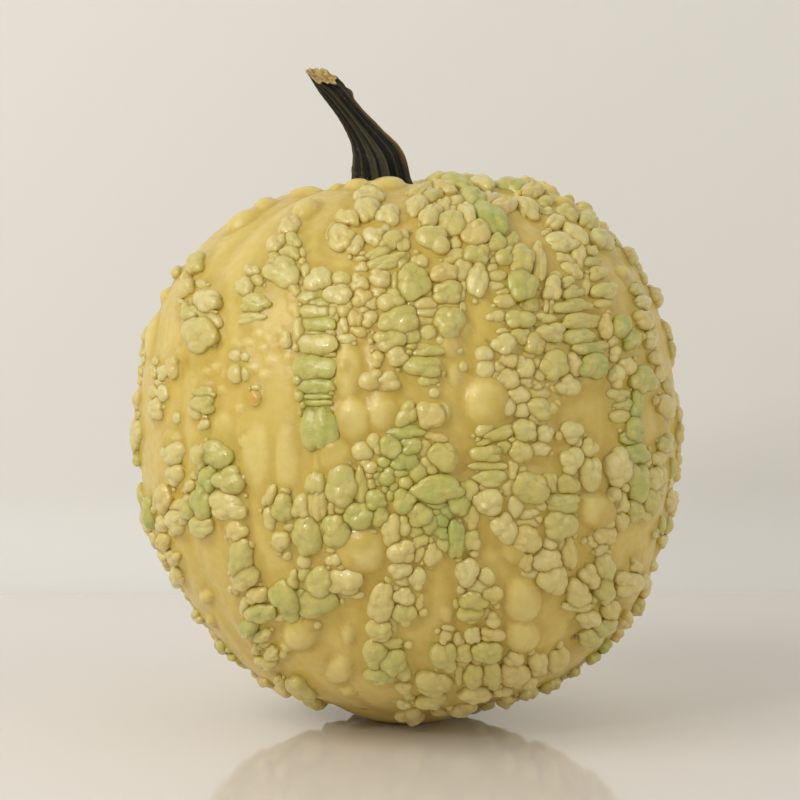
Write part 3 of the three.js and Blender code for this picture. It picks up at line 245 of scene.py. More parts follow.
# The right limb, seen edge on
RIGHT_LIMB = [
    [600, 242, 22, 22], [614, 235, 8, 8], [620, 243, 10, 8], [628, 258, 14, 18], [642, 278, 8, 14],
    [652, 297, 14, 20], [634, 291, 14, 11], [641, 304, 18, 14], [589, 252, 14, 10], [590, 264, 16, 10],
    [596, 275, 16, 13], [603, 292, 20, 15], [602, 304, 14, 8], [603, 327, 14, 22], [611, 340, 9, 16],
    [618, 328, 16, 20], [628, 340, 14, 20], [613, 354, 12, 14], [614, 377, 14, 20], [617, 395, 18, 13],
    [622, 405, 16, 12], [619, 416, 16, 12], [625, 367, 14, 16], [640, 381, 20, 24], [642, 320, 20, 18],
    [648, 340, 14, 16], [653, 358, 12, 14], [657, 375, 12, 14], [664, 386, 14, 16], [663, 406, 22, 22],
    [668, 330, 8, 20], [672, 350, 8, 16], [677, 415, 10, 16], [680, 434, 10, 18], [634, 404, 10, 28],
    [632, 430, 16, 22], [616, 467, 22, 30], [625, 487, 10, 12], [611, 497, 14, 20], [618, 503, 14, 18],
    [603, 519, 18, 18], [618, 520, 12, 18], [631, 438, 20, 12], [634, 454, 22, 17], [635, 482, 18, 34],
    [631, 509, 14, 20], [645, 461, 8, 11], [656, 459, 15, 16], [662, 445, 17, 20], [651, 479, 14, 21],
    [660, 474, 8, 14], [669, 468, 10, 18], [648, 500, 14, 26], [645, 514, 10, 12], [668, 500, 16, 18],
    [661, 490, 10, 10], [668, 483, 12, 10], [659, 524, 8, 14], [653, 533, 8, 10], [665, 525, 10, 18],
    [660, 541, 14, 14], [603, 534, 22, 18], [600, 550, 16, 12], [590, 541, 12, 10], [602, 568, 16, 24],
    [602, 588, 16, 24], [587, 575, 15, 21], [576, 592, 20, 22], [578, 605, 26, 10], [594, 596, 12, 12],
    [608, 608, 16, 18], [586, 617, 20, 16], [602, 624, 24, 16], [588, 636, 22, 18], [634, 566, 12, 12],
    [651, 565, 10, 12], [626, 582, 26, 22], [642, 580, 12, 14], [645, 590, 8, 20], [639, 609, 12, 20],
    [622, 618, 14, 18], [614, 632, 14, 14], [606, 648, 18, 12], [592, 657, 16, 12], [573, 671, 14, 10],
]
# Soft warts that hardly rise from the skin
LOW_WARTS = [
    [165, 295, 12, 14], [210, 634, 14, 8], [180, 310, 10, 12], [184, 354, 14, 14], [173, 440, 16, 20],
    [243, 222, 36, 14, -32], [226, 232, 8, 6], [266, 207, 24, 14, -35], [205, 291, 10, 6],
    [207, 384, 10, 8], [238, 345, 12, 8], [193, 373, 8, 6], [207, 596, 12, 12], [212, 620, 10, 16],
    [245, 442, 10, 12], [256, 438, 10, 10], [305, 193, 34, 10, -5], [338, 187, 16, 8, -15],
    [306, 210, 26, 18, -35], [295, 308, 12, 10], [288, 356, 8, 10], [300, 633, 30, 28],
    [288, 644, 12, 12], [317, 463, 8, 22], [348, 634, 12, 18], [348, 690, 12, 12],
    [386, 177, 34, 22], [358, 184, 26, 14],
    [450, 346, 18, 20], [454, 375, 10, 20], [447, 613, 11, 14], [422, 184, 14, 8], [513, 550, 18, 24],
    [548, 190, 20, 10, 20], [565, 205, 22, 13, 20], [521, 635, 32, 28], [590, 214, 14, 8],
    [603, 227, 12, 10], [622, 272, 14, 12], [596, 510, 28, 32], [625, 598, 20, 12],
    [363, 551, 42, 40],
    [236, 343, 9, 8], [258, 333, 10, 8], [268, 338, 9, 9], [264, 348, 9, 8], [275, 346, 9, 8],
    [207, 371, 8, 8], [217, 367, 9, 8], [279, 331, 9, 8], [252, 368, 10, 9], [263, 376, 8, 8],
    [248, 343, 8, 8], [226, 373, 8, 8], [240, 408, 8, 8], [270, 361, 8, 8], [222, 389, 8, 8],
]
# Broad smooth blisters of bare skin
BLISTERS = [
    [153, 336, 14, 42], [348, 372, 26, 48],
    [353, 420, 32, 40], [382, 412, 28, 34], [336, 455, 30, 32], [340, 668, 22, 24], [464, 328, 10, 20],
    [487, 402, 40, 44], [522, 600, 34, 40],
]
# Faint long swellings
FAINT_SWELLS = [[222, 428, 20, 34], [256, 458, 30, 64], [287, 458, 26, 64], [236, 520, 22, 50]]

# Green patches: how far right and down, how far they reach, and how strong the green is
GREEN_PATCHES = [
    [440, 180, 16, 0.7], [457, 187, 16, 0.9], [473, 202, 16, 1], [490, 220, 18, 1], [500, 240, 16, 0.7],
    [510, 260, 18, 0.6], [521, 287, 20, 0.7], [520, 310, 18, 0.6], [525, 335, 22, 0.5],
    [550, 335, 22, 0.45], [552, 366, 18, 0.45], [590, 360, 22, 0.9], [578, 330, 22, 0.6],
    [571, 300, 20, 0.5], [545, 205, 20, 0.5], [566, 220, 22, 0.55], [586, 226, 16, 0.6],
    [600, 242, 14, 0.6], [590, 262, 16, 0.7], [600, 285, 16, 0.6], [618, 328, 16, 0.8],
    [628, 345, 16, 0.9], [640, 380, 18, 0.9], [622, 405, 14, 0.7], [634, 410, 14, 1],
    [632, 432, 16, 1], [634, 455, 14, 1], [635, 482, 14, 1], [631, 508, 14, 0.8], [648, 500, 12, 0.6],
    [665, 525, 12, 0.7], [664, 390, 14, 0.6], [407, 432, 20, 0.8], [410, 450, 16, 0.9],
    [400, 468, 16, 0.9], [388, 447, 14, 0.6], [388, 476, 18, 0.8], [376, 503, 22, 0.8],
    [360, 515, 20, 0.8], [343, 484, 26, 0.5], [437, 490, 28, 0.8], [441, 525, 20, 1],
    [456, 538, 16, 0.8], [458, 503, 18, 0.8], [420, 520, 22, 0.6], [405, 500, 16, 0.7],
    [443, 456, 18, 0.5], [413, 284, 20, 0.6], [399, 322, 24, 0.6], [390, 255, 24, 0.45],
    [448, 323, 18, 0.6], [446, 294, 14, 0.4], [424, 360, 24, 0.55], [475, 262, 20, 0.4],
    [433, 241, 18, 0.4], [452, 227, 16, 0.5], [430, 199, 20, 0.35], [318, 300, 16, 0.5],
    [318, 325, 20, 0.6], [316, 368, 22, 0.7], [317, 386, 20, 0.9], [318, 405, 18, 0.9],
    [321, 430, 22, 0.9], [318, 490, 14, 0.6], [284, 262, 22, 0.55], [291, 250, 16, 0.5],
    [256, 300, 20, 0.5], [192, 313, 16, 0.6], [202, 335, 20, 0.45], [206, 402, 16, 0.5],
    [219, 455, 22, 0.7], [211, 478, 16, 1], [203, 500, 20, 0.8], [196, 515, 16, 0.8],
    [231, 480, 18, 0.6], [287, 508, 20, 0.5], [309, 534, 20, 0.7], [337, 530, 18, 0.6],
    [243, 560, 20, 0.6], [286, 598, 24, 0.7], [318, 592, 26, 0.7], [262, 611, 16, 0.8],
    [254, 626, 16, 0.9], [268, 655, 20, 0.5], [302, 686, 22, 0.6], [153, 512, 12, 0.5],
    [386, 660, 26, 0.8], [383, 627, 14, 0.4], [404, 613, 12, 0.5], [432, 690, 26, 0.7],
    [443, 655, 16, 0.7], [486, 649, 16, 0.7], [464, 651, 12, 0.5], [483, 672, 24, 0.6],
    [473, 603, 20, 0.5], [500, 448, 24, 0.55], [488, 466, 20, 0.5], [530, 488, 20, 0.5],
    [565, 490, 22, 0.6], [558, 523, 18, 0.5], [521, 430, 18, 0.4], [540, 409, 18, 0.4],
    [602, 580, 16, 0.9], [594, 596, 12, 0.8], [600, 625, 22, 0.6], [588, 636, 18, 0.7],
    [606, 648, 20, 0.8], [592, 657, 16, 0.7], [635, 610, 14, 0.5], [588, 472, 16, 0.4],
]
# Small brown and yellow scars: how far right and down, and how far they reach
BROWN_SCARS = [
    [590, 259, 4], [613, 355, 5], [639, 421, 3], [637, 344, 3], [574, 637, 4], [446, 613, 3],
    [364, 709, 4], [486, 341, 2], [666, 419, 3], [582, 666, 3],
]
YELLOW_SPECKS = [
    [431, 493, 3], [557, 336, 3], [546, 347, 3], [621, 394, 3], [394, 445, 3], [315, 350, 3],
    [256, 398, 8],
]

FRONT_WARTS = (LEFT_LIMB + LEFT_CHEEK + LEFT_BAND + LADDER + MIDDLE + CENTRE_UPPER + CENTRE_LOWER
               + GREEN_BAND + RIGHT_CHEEK + RIGHT_LIMB)

# Seeds of what is drawn at random
CRUST_SEED = 7
COLOUR_SEED = 5
SHAPE_SEED = 11
SWELL_SEEDS = (3, 4)
GREEN_SEEDS = (21, 22)
CORK_SEED = 9

# How high the soft kinds of warts rise, in shares of the shorter way across, and the least of a crusty one
LOW_WART_RISE = 0.34
BLISTER_RISE = 0.24
FAINT_RISE = 0.1
LOWEST_WART = 1.9

# The bare skin: its lift round the feet of warts, and how far a soft swelling reaches and spreads
PAD_RISE = 1.0
SOFT_REACH = 45
SOFT_BLUR = 1.12

# Warts that are too fine for the solid: hidden ones by their sizes, and beads in the gaps
FINER_WARTS_PER_SIZE = [[9, 1500], [7, 2200], [5, 1800]]
BEAD_TRIES = 5000
BEAD_RADII = (1.0, 2.2)

# The limb at the upper left stays bare
BARE_LIMB_FROM = 190
BARE_LIMB_FACING = -0.5

# From which widths a wart is a cluster, has several lobes, or has two
SPLIT_FROM = 11
SPLIT_TRIES = 60
LOBED_FROM = 8.2
PAIRED_FROM = 6

# The form of a wart's dome and of the valleys between its lobes
WART_SINK = 1.6
WART_SQUARENESS = 2.12
STEEPER = 1.16
FATTER = 1.27
LOBE_SPREAD = 1.13
BLENDING = 10
CREASE_BLEND = 0.07

# The gaps between warts, in millimetres, over which the painted shade of creases and hollows fades
NARROW_CREASE_SHADE = (0.05, 0.9)
WIDE_HOLLOW_SHADE = (0, 2.6)

# The warts in six pieces round the fruit, from straight in front to the right and on
WART_PIECES = ["warts_front", "warts_front_right", "warts_back_right", "warts_back", "warts_back_left",
               "warts_front_left"]

# Sides and rings of a wart by its half width in millimetres, the widest first
WART_FINENESS = [(5.2, 40, 12), (3.4, 29, 9), (1.7, 18, 6), (0, 12, 4)]

# How finely the skin is cut, over how many corners its hollows are judged, and the waves of a swell
SKIN_CUTS = 127
HOLLOW_ROUNDS = 12
SWELL_WAVES = 14

# The stem's line: points of its middle, with its width at each. Its ridges twist slowly.
STEM_LINE = [
    [-12.6, 0, 252, 41], [-12.8, 0, 257, 35], [-13.1, 0, 264, 30.5], [-14.5, -0.4, 275, 27],
    [-19.2, -1, 285, 18.3], [-25.6, -2, 294.6, 13.2], [-33, -3, 304.4, 12], [-37.6, -3.4, 310.6, 13.2],
    [-41.6, -3.6, 315.4, 16.8],
]
STEM_RIDGES = 5
STEM_RIDGE_DEPTH = 0.13
STEM_FINE_RIDGES = 13
STEM_FINE_DEPTH = 0.075
STEM_TWIST = 0.8
STEM_SIDES = 144
STEM_CUTS = 100
STEM_GAP = 0.3

# Of the stem bar's height, this many parts are its side, and the rest closes its cut end
STEM_RINGS = 110
CUT_RINGS = 14
CUT_FROM = 0.76
CUT_RIGHT = np.array([0.965, 0, -0.262])
CUT_BACK = np.array([0, 0.88, 0.45])
CUT_DEPTH = 1.2
KNOB = np.array([-27.6, -4, 307.5])
KNOB_RISE = 1.6
KNOB_REACH = 4.16

# Where round the stem the cork dips lowest, and where its edge is rubbed to orange
CORK_TURN = -2.0
RUBBED_TURN = -0.3

RADIANS = math.pi / 180
MIDDLE_POINT = np.array([0.0, 0.0, WAIST_HEIGHT])
UP = np.array([0.0, 0.0, 1.0])


def seeded_random(seed):
    """Random numbers that come out the same every time."""
    state = seed
    full = 0xFFFFFFFF

    def draw():
        nonlocal state
        state = (state + 0x6D2B79F5) & full
        t = ((state ^ (state >> 15)) * (1 | state)) & full
        t = ((t + (t ^ (t >> 7)) * (61 | t)) & full) ^ t
        return ((t ^ (t >> 14)) & full) / 4294967296

    return draw


def smooth_step(low, high, value):
    t = np.clip((value - low) / (high - low), 0, 1)
    return t * t * (3 - 2 * t)


def unit(vectors):
    return vectors / np.linalg.norm(vectors, axis=-1, keepdims=True)


def skin_reach(direction):
    """Distance from the middle point to the bare skin in each direction."""
    x, y, z = direction[..., 0], direction[..., 1], direction[..., 2]
    level = np.hypot(x, y)
    upper = z > 0
    power = np.where(upper, CROWN_POWER, FOOT_POWER)
    rise = np.where(upper, CROWN_RISE, FOOT_DROP)
    reach = ((level / WAIST_RADIUS) ** power + (np.abs(z) / rise) ** power) ** (-1 / power)
    turn = np.arctan2(x, -y)
    furrow = np.abs(np.sin((turn - FURROW_TURN) * FURROWS / 2))
    reach = reach - FURROW_DEPTH * (1 - smooth_step(0, 0.55, furrow)) * smooth_step(0.12, 0.6, level)
    reach = reach + SHOULDER_RISE * smooth_step(SHOULDER_EDGE, 1, direction @ SHOULDER)
    reach = reach + FOOT_LEAN * x * smooth_step(0.3, 0.55, -z) * (1 - smooth_step(0.7, 0.9, -z))
    from_stem = np.hypot(x * reach - STEM_X, y * reach)
    dipped = z * reach - (1 - smooth_step(SEAT_RADIUS, DIP_RADIUS, from_stem)) * DIP_DEPTH
    dipped = np.where(from_stem < SEAT_RADIUS, SEAT_HEIGHT - WAIST_HEIGHT, dipped)
    tucked = reach - FOOT_TUCK * smooth_step(0.14, 0.34, level) * (1 - smooth_step(0.36, 0.64, level))
    flat = level * tucked < FLAT_SPOT_RADIUS + 0.1
    steep = np.where(np.abs(z) < 0.1, 0.1, np.abs(z))
    lower_reach = np.where(flat, WAIST_HEIGHT / steep, tucked)
    upper_reach = np.where(from_stem < DIP_RADIUS, dipped / steep, reach)
    return np.where(upper, upper_reach, lower_reach)


def skin_point(direction):
    """The point of the bare skin in each direction from the middle point."""
    return direction * skin_reach(direction)[..., None] + MIDDLE_POINT


def outside(point):
    """How far points stand out of the bare skin."""
    offset = point - MIDDLE_POINT
    length = np.linalg.norm(offset, axis=-1)
    return length - skin_reach(offset / length[..., None])


def skin_normal(point):
    """Which way the skin faces at each point, from how fast one leaves it along each axis."""
    step = 0.8
    slopes = [outside(point + axis * step) - outside(point - axis * step) for axis in np.eye(3)]
    return unit(np.stack(slopes, axis=-1))


def direction_at(turn, tilt):
    """The direction at a turn from straight in front and a tilt above the waist."""
    level = math.cos(tilt)
    return np.array([math.sin(turn) * level, -math.cos(turn) * level, math.sin(tilt)])


EYE = np.array([EYE_RIGHT, -EYE_DISTANCE, EYE_HEIGHT])
LOOK = np.array([0, math.cos(LOOK_DOWN * RADIANS), -math.sin(LOOK_DOWN * RADIANS)])
VIEW_RIGHT = np.array([1.0, 0.0, 0.0])
VIEW_UP = np.cross(VIEW_RIGHT, LOOK)


def seen_points(across, down):
    """The points of the skin that show at places of the front view, or the nearest where none does."""
    across, down = np.asarray(across, float), np.asarray(down, float)
    ray = unit(LOOK + VIEW_RIGHT * ((across - PICTURE_MIDDLE) / PICTURE_SCALE)[:, None]
               + VIEW_UP * ((PICTURE_MIDDLE - down) / PICTURE_SCALE)[:, None])
    steps = np.arange(EYE_DISTANCE - 150, EYE_DISTANCE + 40, 2.0)
    depths = outside(EYE + ray[:, None] * steps[None, :, None])
    hit = (depths < 0).any(axis=1)
    far = steps[np.where(hit, (depths < 0).argmax(axis=1), depths.argmin(axis=1))]
    near = np.where(hit, far - 2.0, far)
    for _ in range(20):
        half = (far + near) / 2
        inside = outside(EYE + ray * half[:, None]) < 0
        far, near = np.where(inside, half, far), np.where(inside, near, half)
    return skin_point(unit(EYE + ray * far[:, None] - MIDDLE_POINT))


class Wart:
    """An oval dome on the skin: its place, its half lengths along the skin as vectors, and its height.

    A smooth one is a bar of three lobes in the crust, or a swelling without a rim on bare skin.
    """

    def __init__(self, point, normal, half_a, half_b, height, smooth=False):
        self.point = point
        self.normal = normal
        self.half_a = half_a
        self.half_b = half_b
        self.height = height
        self.smooth = smooth
        self.size = math.sqrt(np.linalg.norm(np.cross(half_a, half_b)))
        self.lobes = np.array([[0, 0, FATTER, FATTER, 1]])

    def spot(self, a, b):
        """A point of its footprint, in half lengths."""
        return self.point + self.half_a * a + self.half_b * b

    def part(self, a, b, scale, height):
        """A smaller wart somewhere on this one."""
        return Wart(self.spot(a, b), self.normal, self.half_a * scale, self.half_b * scale,
                    self.height * height, self.smooth)


def seen_warts(rows, rise):
    """Warts that are listed in the front view. Their outlines are stretched as they are seen face on."""
    table = np.array([list(row) + [0] * (5 - len(row)) for row in rows], float)
    points = seen_points(table[:, 0], table[:, 1])
    normals = skin_normal(points)
    warts = []
    for (_, _, width, high, lean), point, normal in zip(table, points, normals):
        to_eye = unit(EYE - point)
        sideways = unit(np.cross(to_eye, normal))
        upwards = np.cross(normal, sideways)
        seen_upwards = unit(upwards - to_eye * upwards.dot(to_eye))
        facing = max(0.5, normal.dot(to_eye))
        scale = WART_SPREAD * np.linalg.norm(EYE - point) / PICTURE_SCALE / 2
        turn = lean * RADIANS

        def on_skin(right, up):
            offset = VIEW_RIGHT * right + VIEW_UP * up
            return sideways * offset.dot(sideways) + upwards * offset.dot(seen_upwards) / facing

        half_a = on_skin(math.cos(turn) * width * scale, -math.sin(turn) * width * scale)
        half_b = on_skin(math.sin(turn) * high * scale, math.cos(turn) * high * scale)
        shorter = 2 * min(np.linalg.norm(half_a), np.linalg.norm(half_b))
        warts.append(Wart(point, normal, half_a, half_b, min(HIGHEST_WART, rise * shorter)))
    return warts


def hidden_warts(placed):
    """Warts where no front view reaches, drawn at random in wandering bands, the largest first."""
    draw = seeded_random(HIDDEN_SEED)
    band_step = (360 - 2 * HIDDEN_FROM) / HIDDEN_BANDS
    bands = []
    for band in range(HIDDEN_BANDS):
        bands.append({
            "turn": (HIDDEN_FROM + band_step * (band + 0.2 + 0.6 * draw())) * RADIANS,
            "width": BAND_HALF_WIDTH * (0.55 + 0.75 * draw()),
            "wander": 0.02 + 0.06 * draw(),
            "phase": 6.3 * draw(),
            "gap": 1.5 + 2.5 * draw(),
            "stretch": 0.75 + 0.75 * draw(),
        })
    points = [wart.point for wart in placed]
    sizes = [wart.size for wart in placed]
    found = []
    for size, tries in WARTS_PER_SIZE + FINER_WARTS_PER_SIZE:
        for _ in range(tries):
            band = bands[math.floor(draw() * HIDDEN_BANDS)]
            tilt = math.asin(-0.97 + 1.9 * draw())
            side = 2 * draw() - 1
            scale = 0.85 + 0.35 * draw()
            lean = 0.7 * (draw() - 0.5)
            patch = 0.55 + 0.45 * math.sin(band["gap"] * tilt * 2 + band["phase"])
            offset = side * band["width"] * patch / (WAIST_RADIUS * max(0.3, math.cos(tilt)))
            turn = band["turn"] + band["wander"] * math.sin(3 * tilt + band["phase"]) + offset
            if turn < HIDDEN_FROM * RADIANS or turn > (360 - HIDDEN_FROM) * RADIANS:
                continue
            direction = direction_at(turn, tilt)
            point = skin_point(direction)
            facing = unit(EYE - point).dot(direction)
            bare_limb = point[0] < 0 and point[2] > BARE_LIMB_FROM
            if facing > HIDDEN_FACING or (bare_limb and facing > BARE_LIMB_FACING):
                continue
            if math.hypot(point[0] - STEM_X, point[1]) < SEAT_RADIUS + 7:
                continue
            if math.hypot(point[0], point[1]) < FLAT_SPOT_RADIUS + 10:
                continue
            wide = size * scale * math.sqrt(band["stretch"]) / 2
            high = size * scale / math.sqrt(band["stretch"]) / 2
            room = math.sqrt(wide * high)
            apart = np.linalg.norm(np.array(points) - point, axis=1)
            if (apart < HIDDEN_CLEAR * (np.array(sizes) + room)).any():
                continue
            normal = skin_normal(point)
            sideways = unit(np.cross(UP, normal))
            upwards = np.cross(normal, sideways)
            half_a = (sideways * math.cos(lean) + upwards * math.sin(lean)) * wide
            half_b = (upwards * math.cos(lean) - sideways * math.sin(lean)) * high
            height = min(HIGHEST_WART, WART_RISE * 2 * min(wide, high))
            found.append(Wart(point, normal, half_a, half_b, height))
            points.append(point)
            sizes.append(room)
    return found


def split_wart(wart, draw):
    """A cluster of smaller warts on the footprint of a large one."""
    parts = []
    for _ in range(SPLIT_TRIES):
        reach = math.sqrt(draw()) * 0.78
        turn = draw() * 2 * math.pi
        scale = 0.3 + 0.28 * draw()
        a, b = reach * math.cos(turn), reach * math.sin(turn)
        if all(math.hypot(a - x, b - y) > 0.84 * (scale + other) for x, y, other in parts):
            parts.append((a, b, scale))
    return [wart.part(a, b, scale, min(1, 1.35 * scale + 0.3)) for a, b, scale in parts]


def bead_warts(warts, draw):
    """Tiny warts in the gaps beside larger ones."""
    centres = np.array([wart.point for wart in warts])
    reaches = np.array([wart.size for wart in warts])
    beads = []
    bead_points = np.zeros((0, 3))
    bead_radii = np.zeros(0)
    for _ in range(BEAD_TRIES):
        wart = warts[math.floor(draw() * len(warts))]
        turn = draw() * 2 * math.pi
        away = 1.15 + 0.25 * draw()
        radius = BEAD_RADII[0] + (BEAD_RADII[1] - BEAD_RADII[0]) * draw() ** 2
        skin = skin_point(unit(wart.spot(away * math.cos(turn), away * math.sin(turn)) - MIDDLE_POINT))
        if math.hypot(skin[0] - STEM_X, skin[1]) < SEAT_RADIUS + 3 or skin[2] < 3:
            continue
        near = np.linalg.norm(centres - skin, axis=1)
        if (near < 1.02 * (reaches + radius)).any() or (near < reaches + 4 * radius).sum() < 2:
            continue
        if (np.linalg.norm(bead_points - skin, axis=1) < 0.9 * (bead_radii + radius)).any():
            continue
        normal = skin_normal(skin)
        sideways = unit(np.cross(UP, normal)) * radius
        beads.append(Wart(skin, normal, sideways, np.cross(normal, sideways), radius * 1.1 + 0.3))
        bead_points = np.vstack([bead_points, skin])
        bead_radii = np.append(bead_radii, radius)
    return beads


def squash_warts():
    """Every wart of the squash, in two lists: those of the crust, and the soft ones of bare skin."""
    draw = seeded_random(CRUST_SEED)
    listed = seen_warts(FRONT_WARTS, WART_RISE)
    for wart in listed:
        wart.height = max(LOWEST_WART, wart.height)
    ladder = len(LEFT_LIMB + LEFT_CHEEK + LEFT_BAND)
    for wart in listed[ladder:ladder + len(LADDER)]:
        wart.smooth = True
    soft = seen_warts(LOW_WARTS, LOW_WART_RISE) + seen_warts(BLISTERS, BLISTER_RISE)
    faint = seen_warts(FAINT_SWELLS, FAINT_RISE)
    hidden = hidden_warts(listed + soft)
    for wart in faint:
        wart.smooth = True
    soft += faint
    whole = list(listed)
    for wart in hidden:
        whole += split_wart(wart, draw) if 2 * wart.size > SPLIT_FROM else [wart]
    whole += bead_warts(whole, draw)
    for wart in whole:
        wart.lobes = lobes_of(wart, draw)
    return whole, soft


def add_shape(name, add, **settings):
    """One of Blender's simple shapes, the only thing selected."""
    bpy.ops.object.select_all(action="DESELECT")
    add(**settings)
    shape = bpy.context.object
    shape.name = name
    return shape


def cut_squares(piece, cuts):
    """Cuts every face of a piece into finer squares."""
    bpy.ops.object.mode_set(mode="EDIT")
    bpy.ops.mesh.select_all(action="SELECT")
    bpy.ops.mesh.subdivide(number_cuts=cuts)
    bpy.ops.object.mode_set(mode="OBJECT")
    return corners_of(piece)


def corners_of(piece):
    """The corners of a piece, in metres."""
    corners = np.empty(len(piece.data.vertices) * 3)
    piece.data.vertices.foreach_get("co", corners)
    return corners.reshape(-1, 3)


def set_corners(piece, corners):
    piece.data.vertices.foreach_set("co", np.ascontiguousarray(corners, float).ravel())
    piece.data.update()


def soft_rise(skin, soft):
    """How far blisters and other soft swellings lift the bare skin, and how near their tops it is."""
    rise, top = np.zeros(len(skin)), np.zeros(len(skin))
    for wart in soft:
        near = np.linalg.norm(skin - wart.point, axis=1) < SOFT_REACH
        offset = skin[near] - wart.point
        frame_of = np.stack([wart.half_a, wart.half_b, wart.normal], axis=1)
        a, b, _ = np.linalg.solve(frame_of, offset.T)
        share = np.clip(1 - (a * a + b * b) / SOFT_BLUR ** 2, 0, 1)
        shape = smooth_step(0, 1, share) if wart.smooth else share * (1.7 - 0.7 * share)
        rise[near] = np.maximum(rise[near], wart.height * shape)
        top[near] = np.maximum(top[near], smooth_step(0.05, 0.9, share) * min(1, wart.height / 2.5))
    return rise, top


def wavy(points, draw, length):
    """A gentle random swell over space, between about -1 and 1."""
    swell = np.zeros(len(points))
    for _ in range(SWELL_WAVES):
        heading = unit(np.array([draw() - 0.5, draw() - 0.5, draw() - 0.5]))
        swell += np.sin(points @ heading * 2 * math.pi / (length * (0.7 + 0.6 * draw())) + 6.3 * draw())
    return swell / math.sqrt(SWELL_WAVES) * 0.7


def dome_pattern(sides, rings):
    """A closed dome as turns, reaches and rises of its corners, with its triangles.

    It has a rounded top, steep sides and a foot that is sunk into the skin. The last two corners are
    the top's middle and the foot's.
    """
    tilt = np.linspace(0.05, 1.36, rings)
    reach = np.append(0.94, np.cos(tilt) ** (2 / WART_SQUARENESS))
    rise = np.append(-1, np.sin(tilt) ** (2 / WART_SQUARENESS))
    turn = np.arange(sides) / sides * 2 * math.pi
    turns = np.append(np.tile(turn, rings + 1), [0, 0])
    reaches = np.append(np.repeat(reach, sides), [0, 0])
    rises = np.append(np.repeat(rise, sides), [1, -1])
    side = np.arange(sides)
    after = (side + 1) % sides
    triangles = []
    for ring in range(rings):
        low, high = ring * sides, (ring + 1) * sides
        triangles += [np.stack([low + side, low + after, high + after], 1)]
        triangles += [np.stack([low + side, high + after, high + side], 1)]
    top, foot = len(turns) - 2, len(turns) - 1
    last = rings * sides
    triangles += [np.stack([last + side, last + after, np.full(sides, top)], 1)]
    triangles += [np.stack([after, side, np.full(sides, foot)], 1)]
    return turns, reaches, rises, np.concatenate(triangles)


def lobes_of(wart, draw):
    """The lobes that a wart is fused from: places, half widths and heights, in shares of the wart's."""
    width = 2 * wart.size
    if wart.smooth:
        shift, wide = 0.24 * (draw() - 0.5), 0.9 + 0.2 * draw()
        left = [-0.5, shift, 0.7, 1.2 * wide, 0.82 + 0.16 * draw()]
        middle = [0.3 * draw() - 0.12, -shift, 0.66, 1.28, 1]
        right = [0.52, shift, 0.68, 1.16 / wide, 0.8 + 0.18 * draw()]
        return np.array([left, middle, right])
    if width < PAIRED_FROM or (width < LOBED_FROM and draw() < 0.4):
        return wart.lobes
    heading = draw() * 2 * math.pi
    lobes = [[0.3 * math.cos(heading), 0.3 * math.sin(heading), 0.86, 0.86, 1]]
    count = 1 if width < LOBED_FROM else 2 + math.floor(draw() * (1.5 if width < SPLIT_FROM else 3))
    for lobe in range(count):
        turn = heading + math.pi + (lobe - (count - 1) / 2) * 4.4 / (count + 0.6) + 0.5 * (draw() - 0.5)
        radius = 0.56 + 0.13 * draw()
        away = radius * (0.76 + 0.14 * draw())
        lobes.append([away * math.cos(turn), away * math.sin(turn), radius, radius, 0.74 + 0.26 * draw()])
    if width > SPLIT_FROM:
        for _ in range(2):
            turn = draw() * 2 * math.pi
            lobes.append([0.34 * math.cos(turn), 0.34 * math.sin(turn), 0.42, 0.42, 1.03 + 0.07 * draw()])
    return np.array(lobes) * [LOBE_SPREAD, LOBE_SPREAD, LOBE_SPREAD, LOBE_SPREAD, 1]


def dome_of(wart, pattern, draw):
    """The corners of one wart, and how deep each lies in the creases between its own lobes."""
    turns, reaches, _, _ = pattern
    places, sizes, tops = wart.lobes[:, :2], wart.lobes[:, 2:4], wart.lobes[:, 4]
    heading = np.stack([np.cos(turns), np.sin(turns)], axis=1)
    scaled, centre = heading / sizes[:, None], (places / sizes)[:, None]
    along, square = (scaled * centre).sum(axis=2), (scaled ** 2).sum(axis=2)
    root = np.sqrt(np.maximum(0, along ** 2 - square * ((centre ** 2).sum(axis=2) - 1)))
    outline = ((along + root) / square).max(axis=0)
    for waves, depth in ((3, 0.03), (5, 0.02)):
        outline *= 1 - depth * (1 + np.sin(waves * turns + 6.3 * draw()))
    flat = heading * (outline * reaches)[:, None]
    apart = np.linalg.norm((flat - places[:, None]) / sizes[:, None], axis=2)
    rises = tops[:, None] * np.maximum(0, 1 - apart ** WART_SQUARENESS) ** (1 / WART_SQUARENESS)
    together = (rises ** BLENDING).sum(axis=0) ** (1 / BLENDING)
    a, b = flat.T
    uneven = 0.05 * np.sin(3 * a + 6.3 * draw()) * np.sin(3 * b + 6.3 * draw())
    lean = 0.1 * ((draw() - 0.5) * a + (draw() - 0.5) * b)
    up = np.where(pattern[2] < 0, -WART_SINK, STEEPER * wart.height * together * (1 + uneven + lean))
    ordered = np.sort(np.vstack([rises, np.zeros(len(a))]), axis=0)
    valley = np.exp(-((ordered[-1] - ordered[-2]) / CREASE_BLEND) ** 2)
    valley = valley * smooth_step(0.02, 0.35, 1 - together)
    corners = wart.point + wart.half_a * a[:, None] + wart.half_b * b[:, None] + wart.normal * up[:, None]
    return corners, valley, together


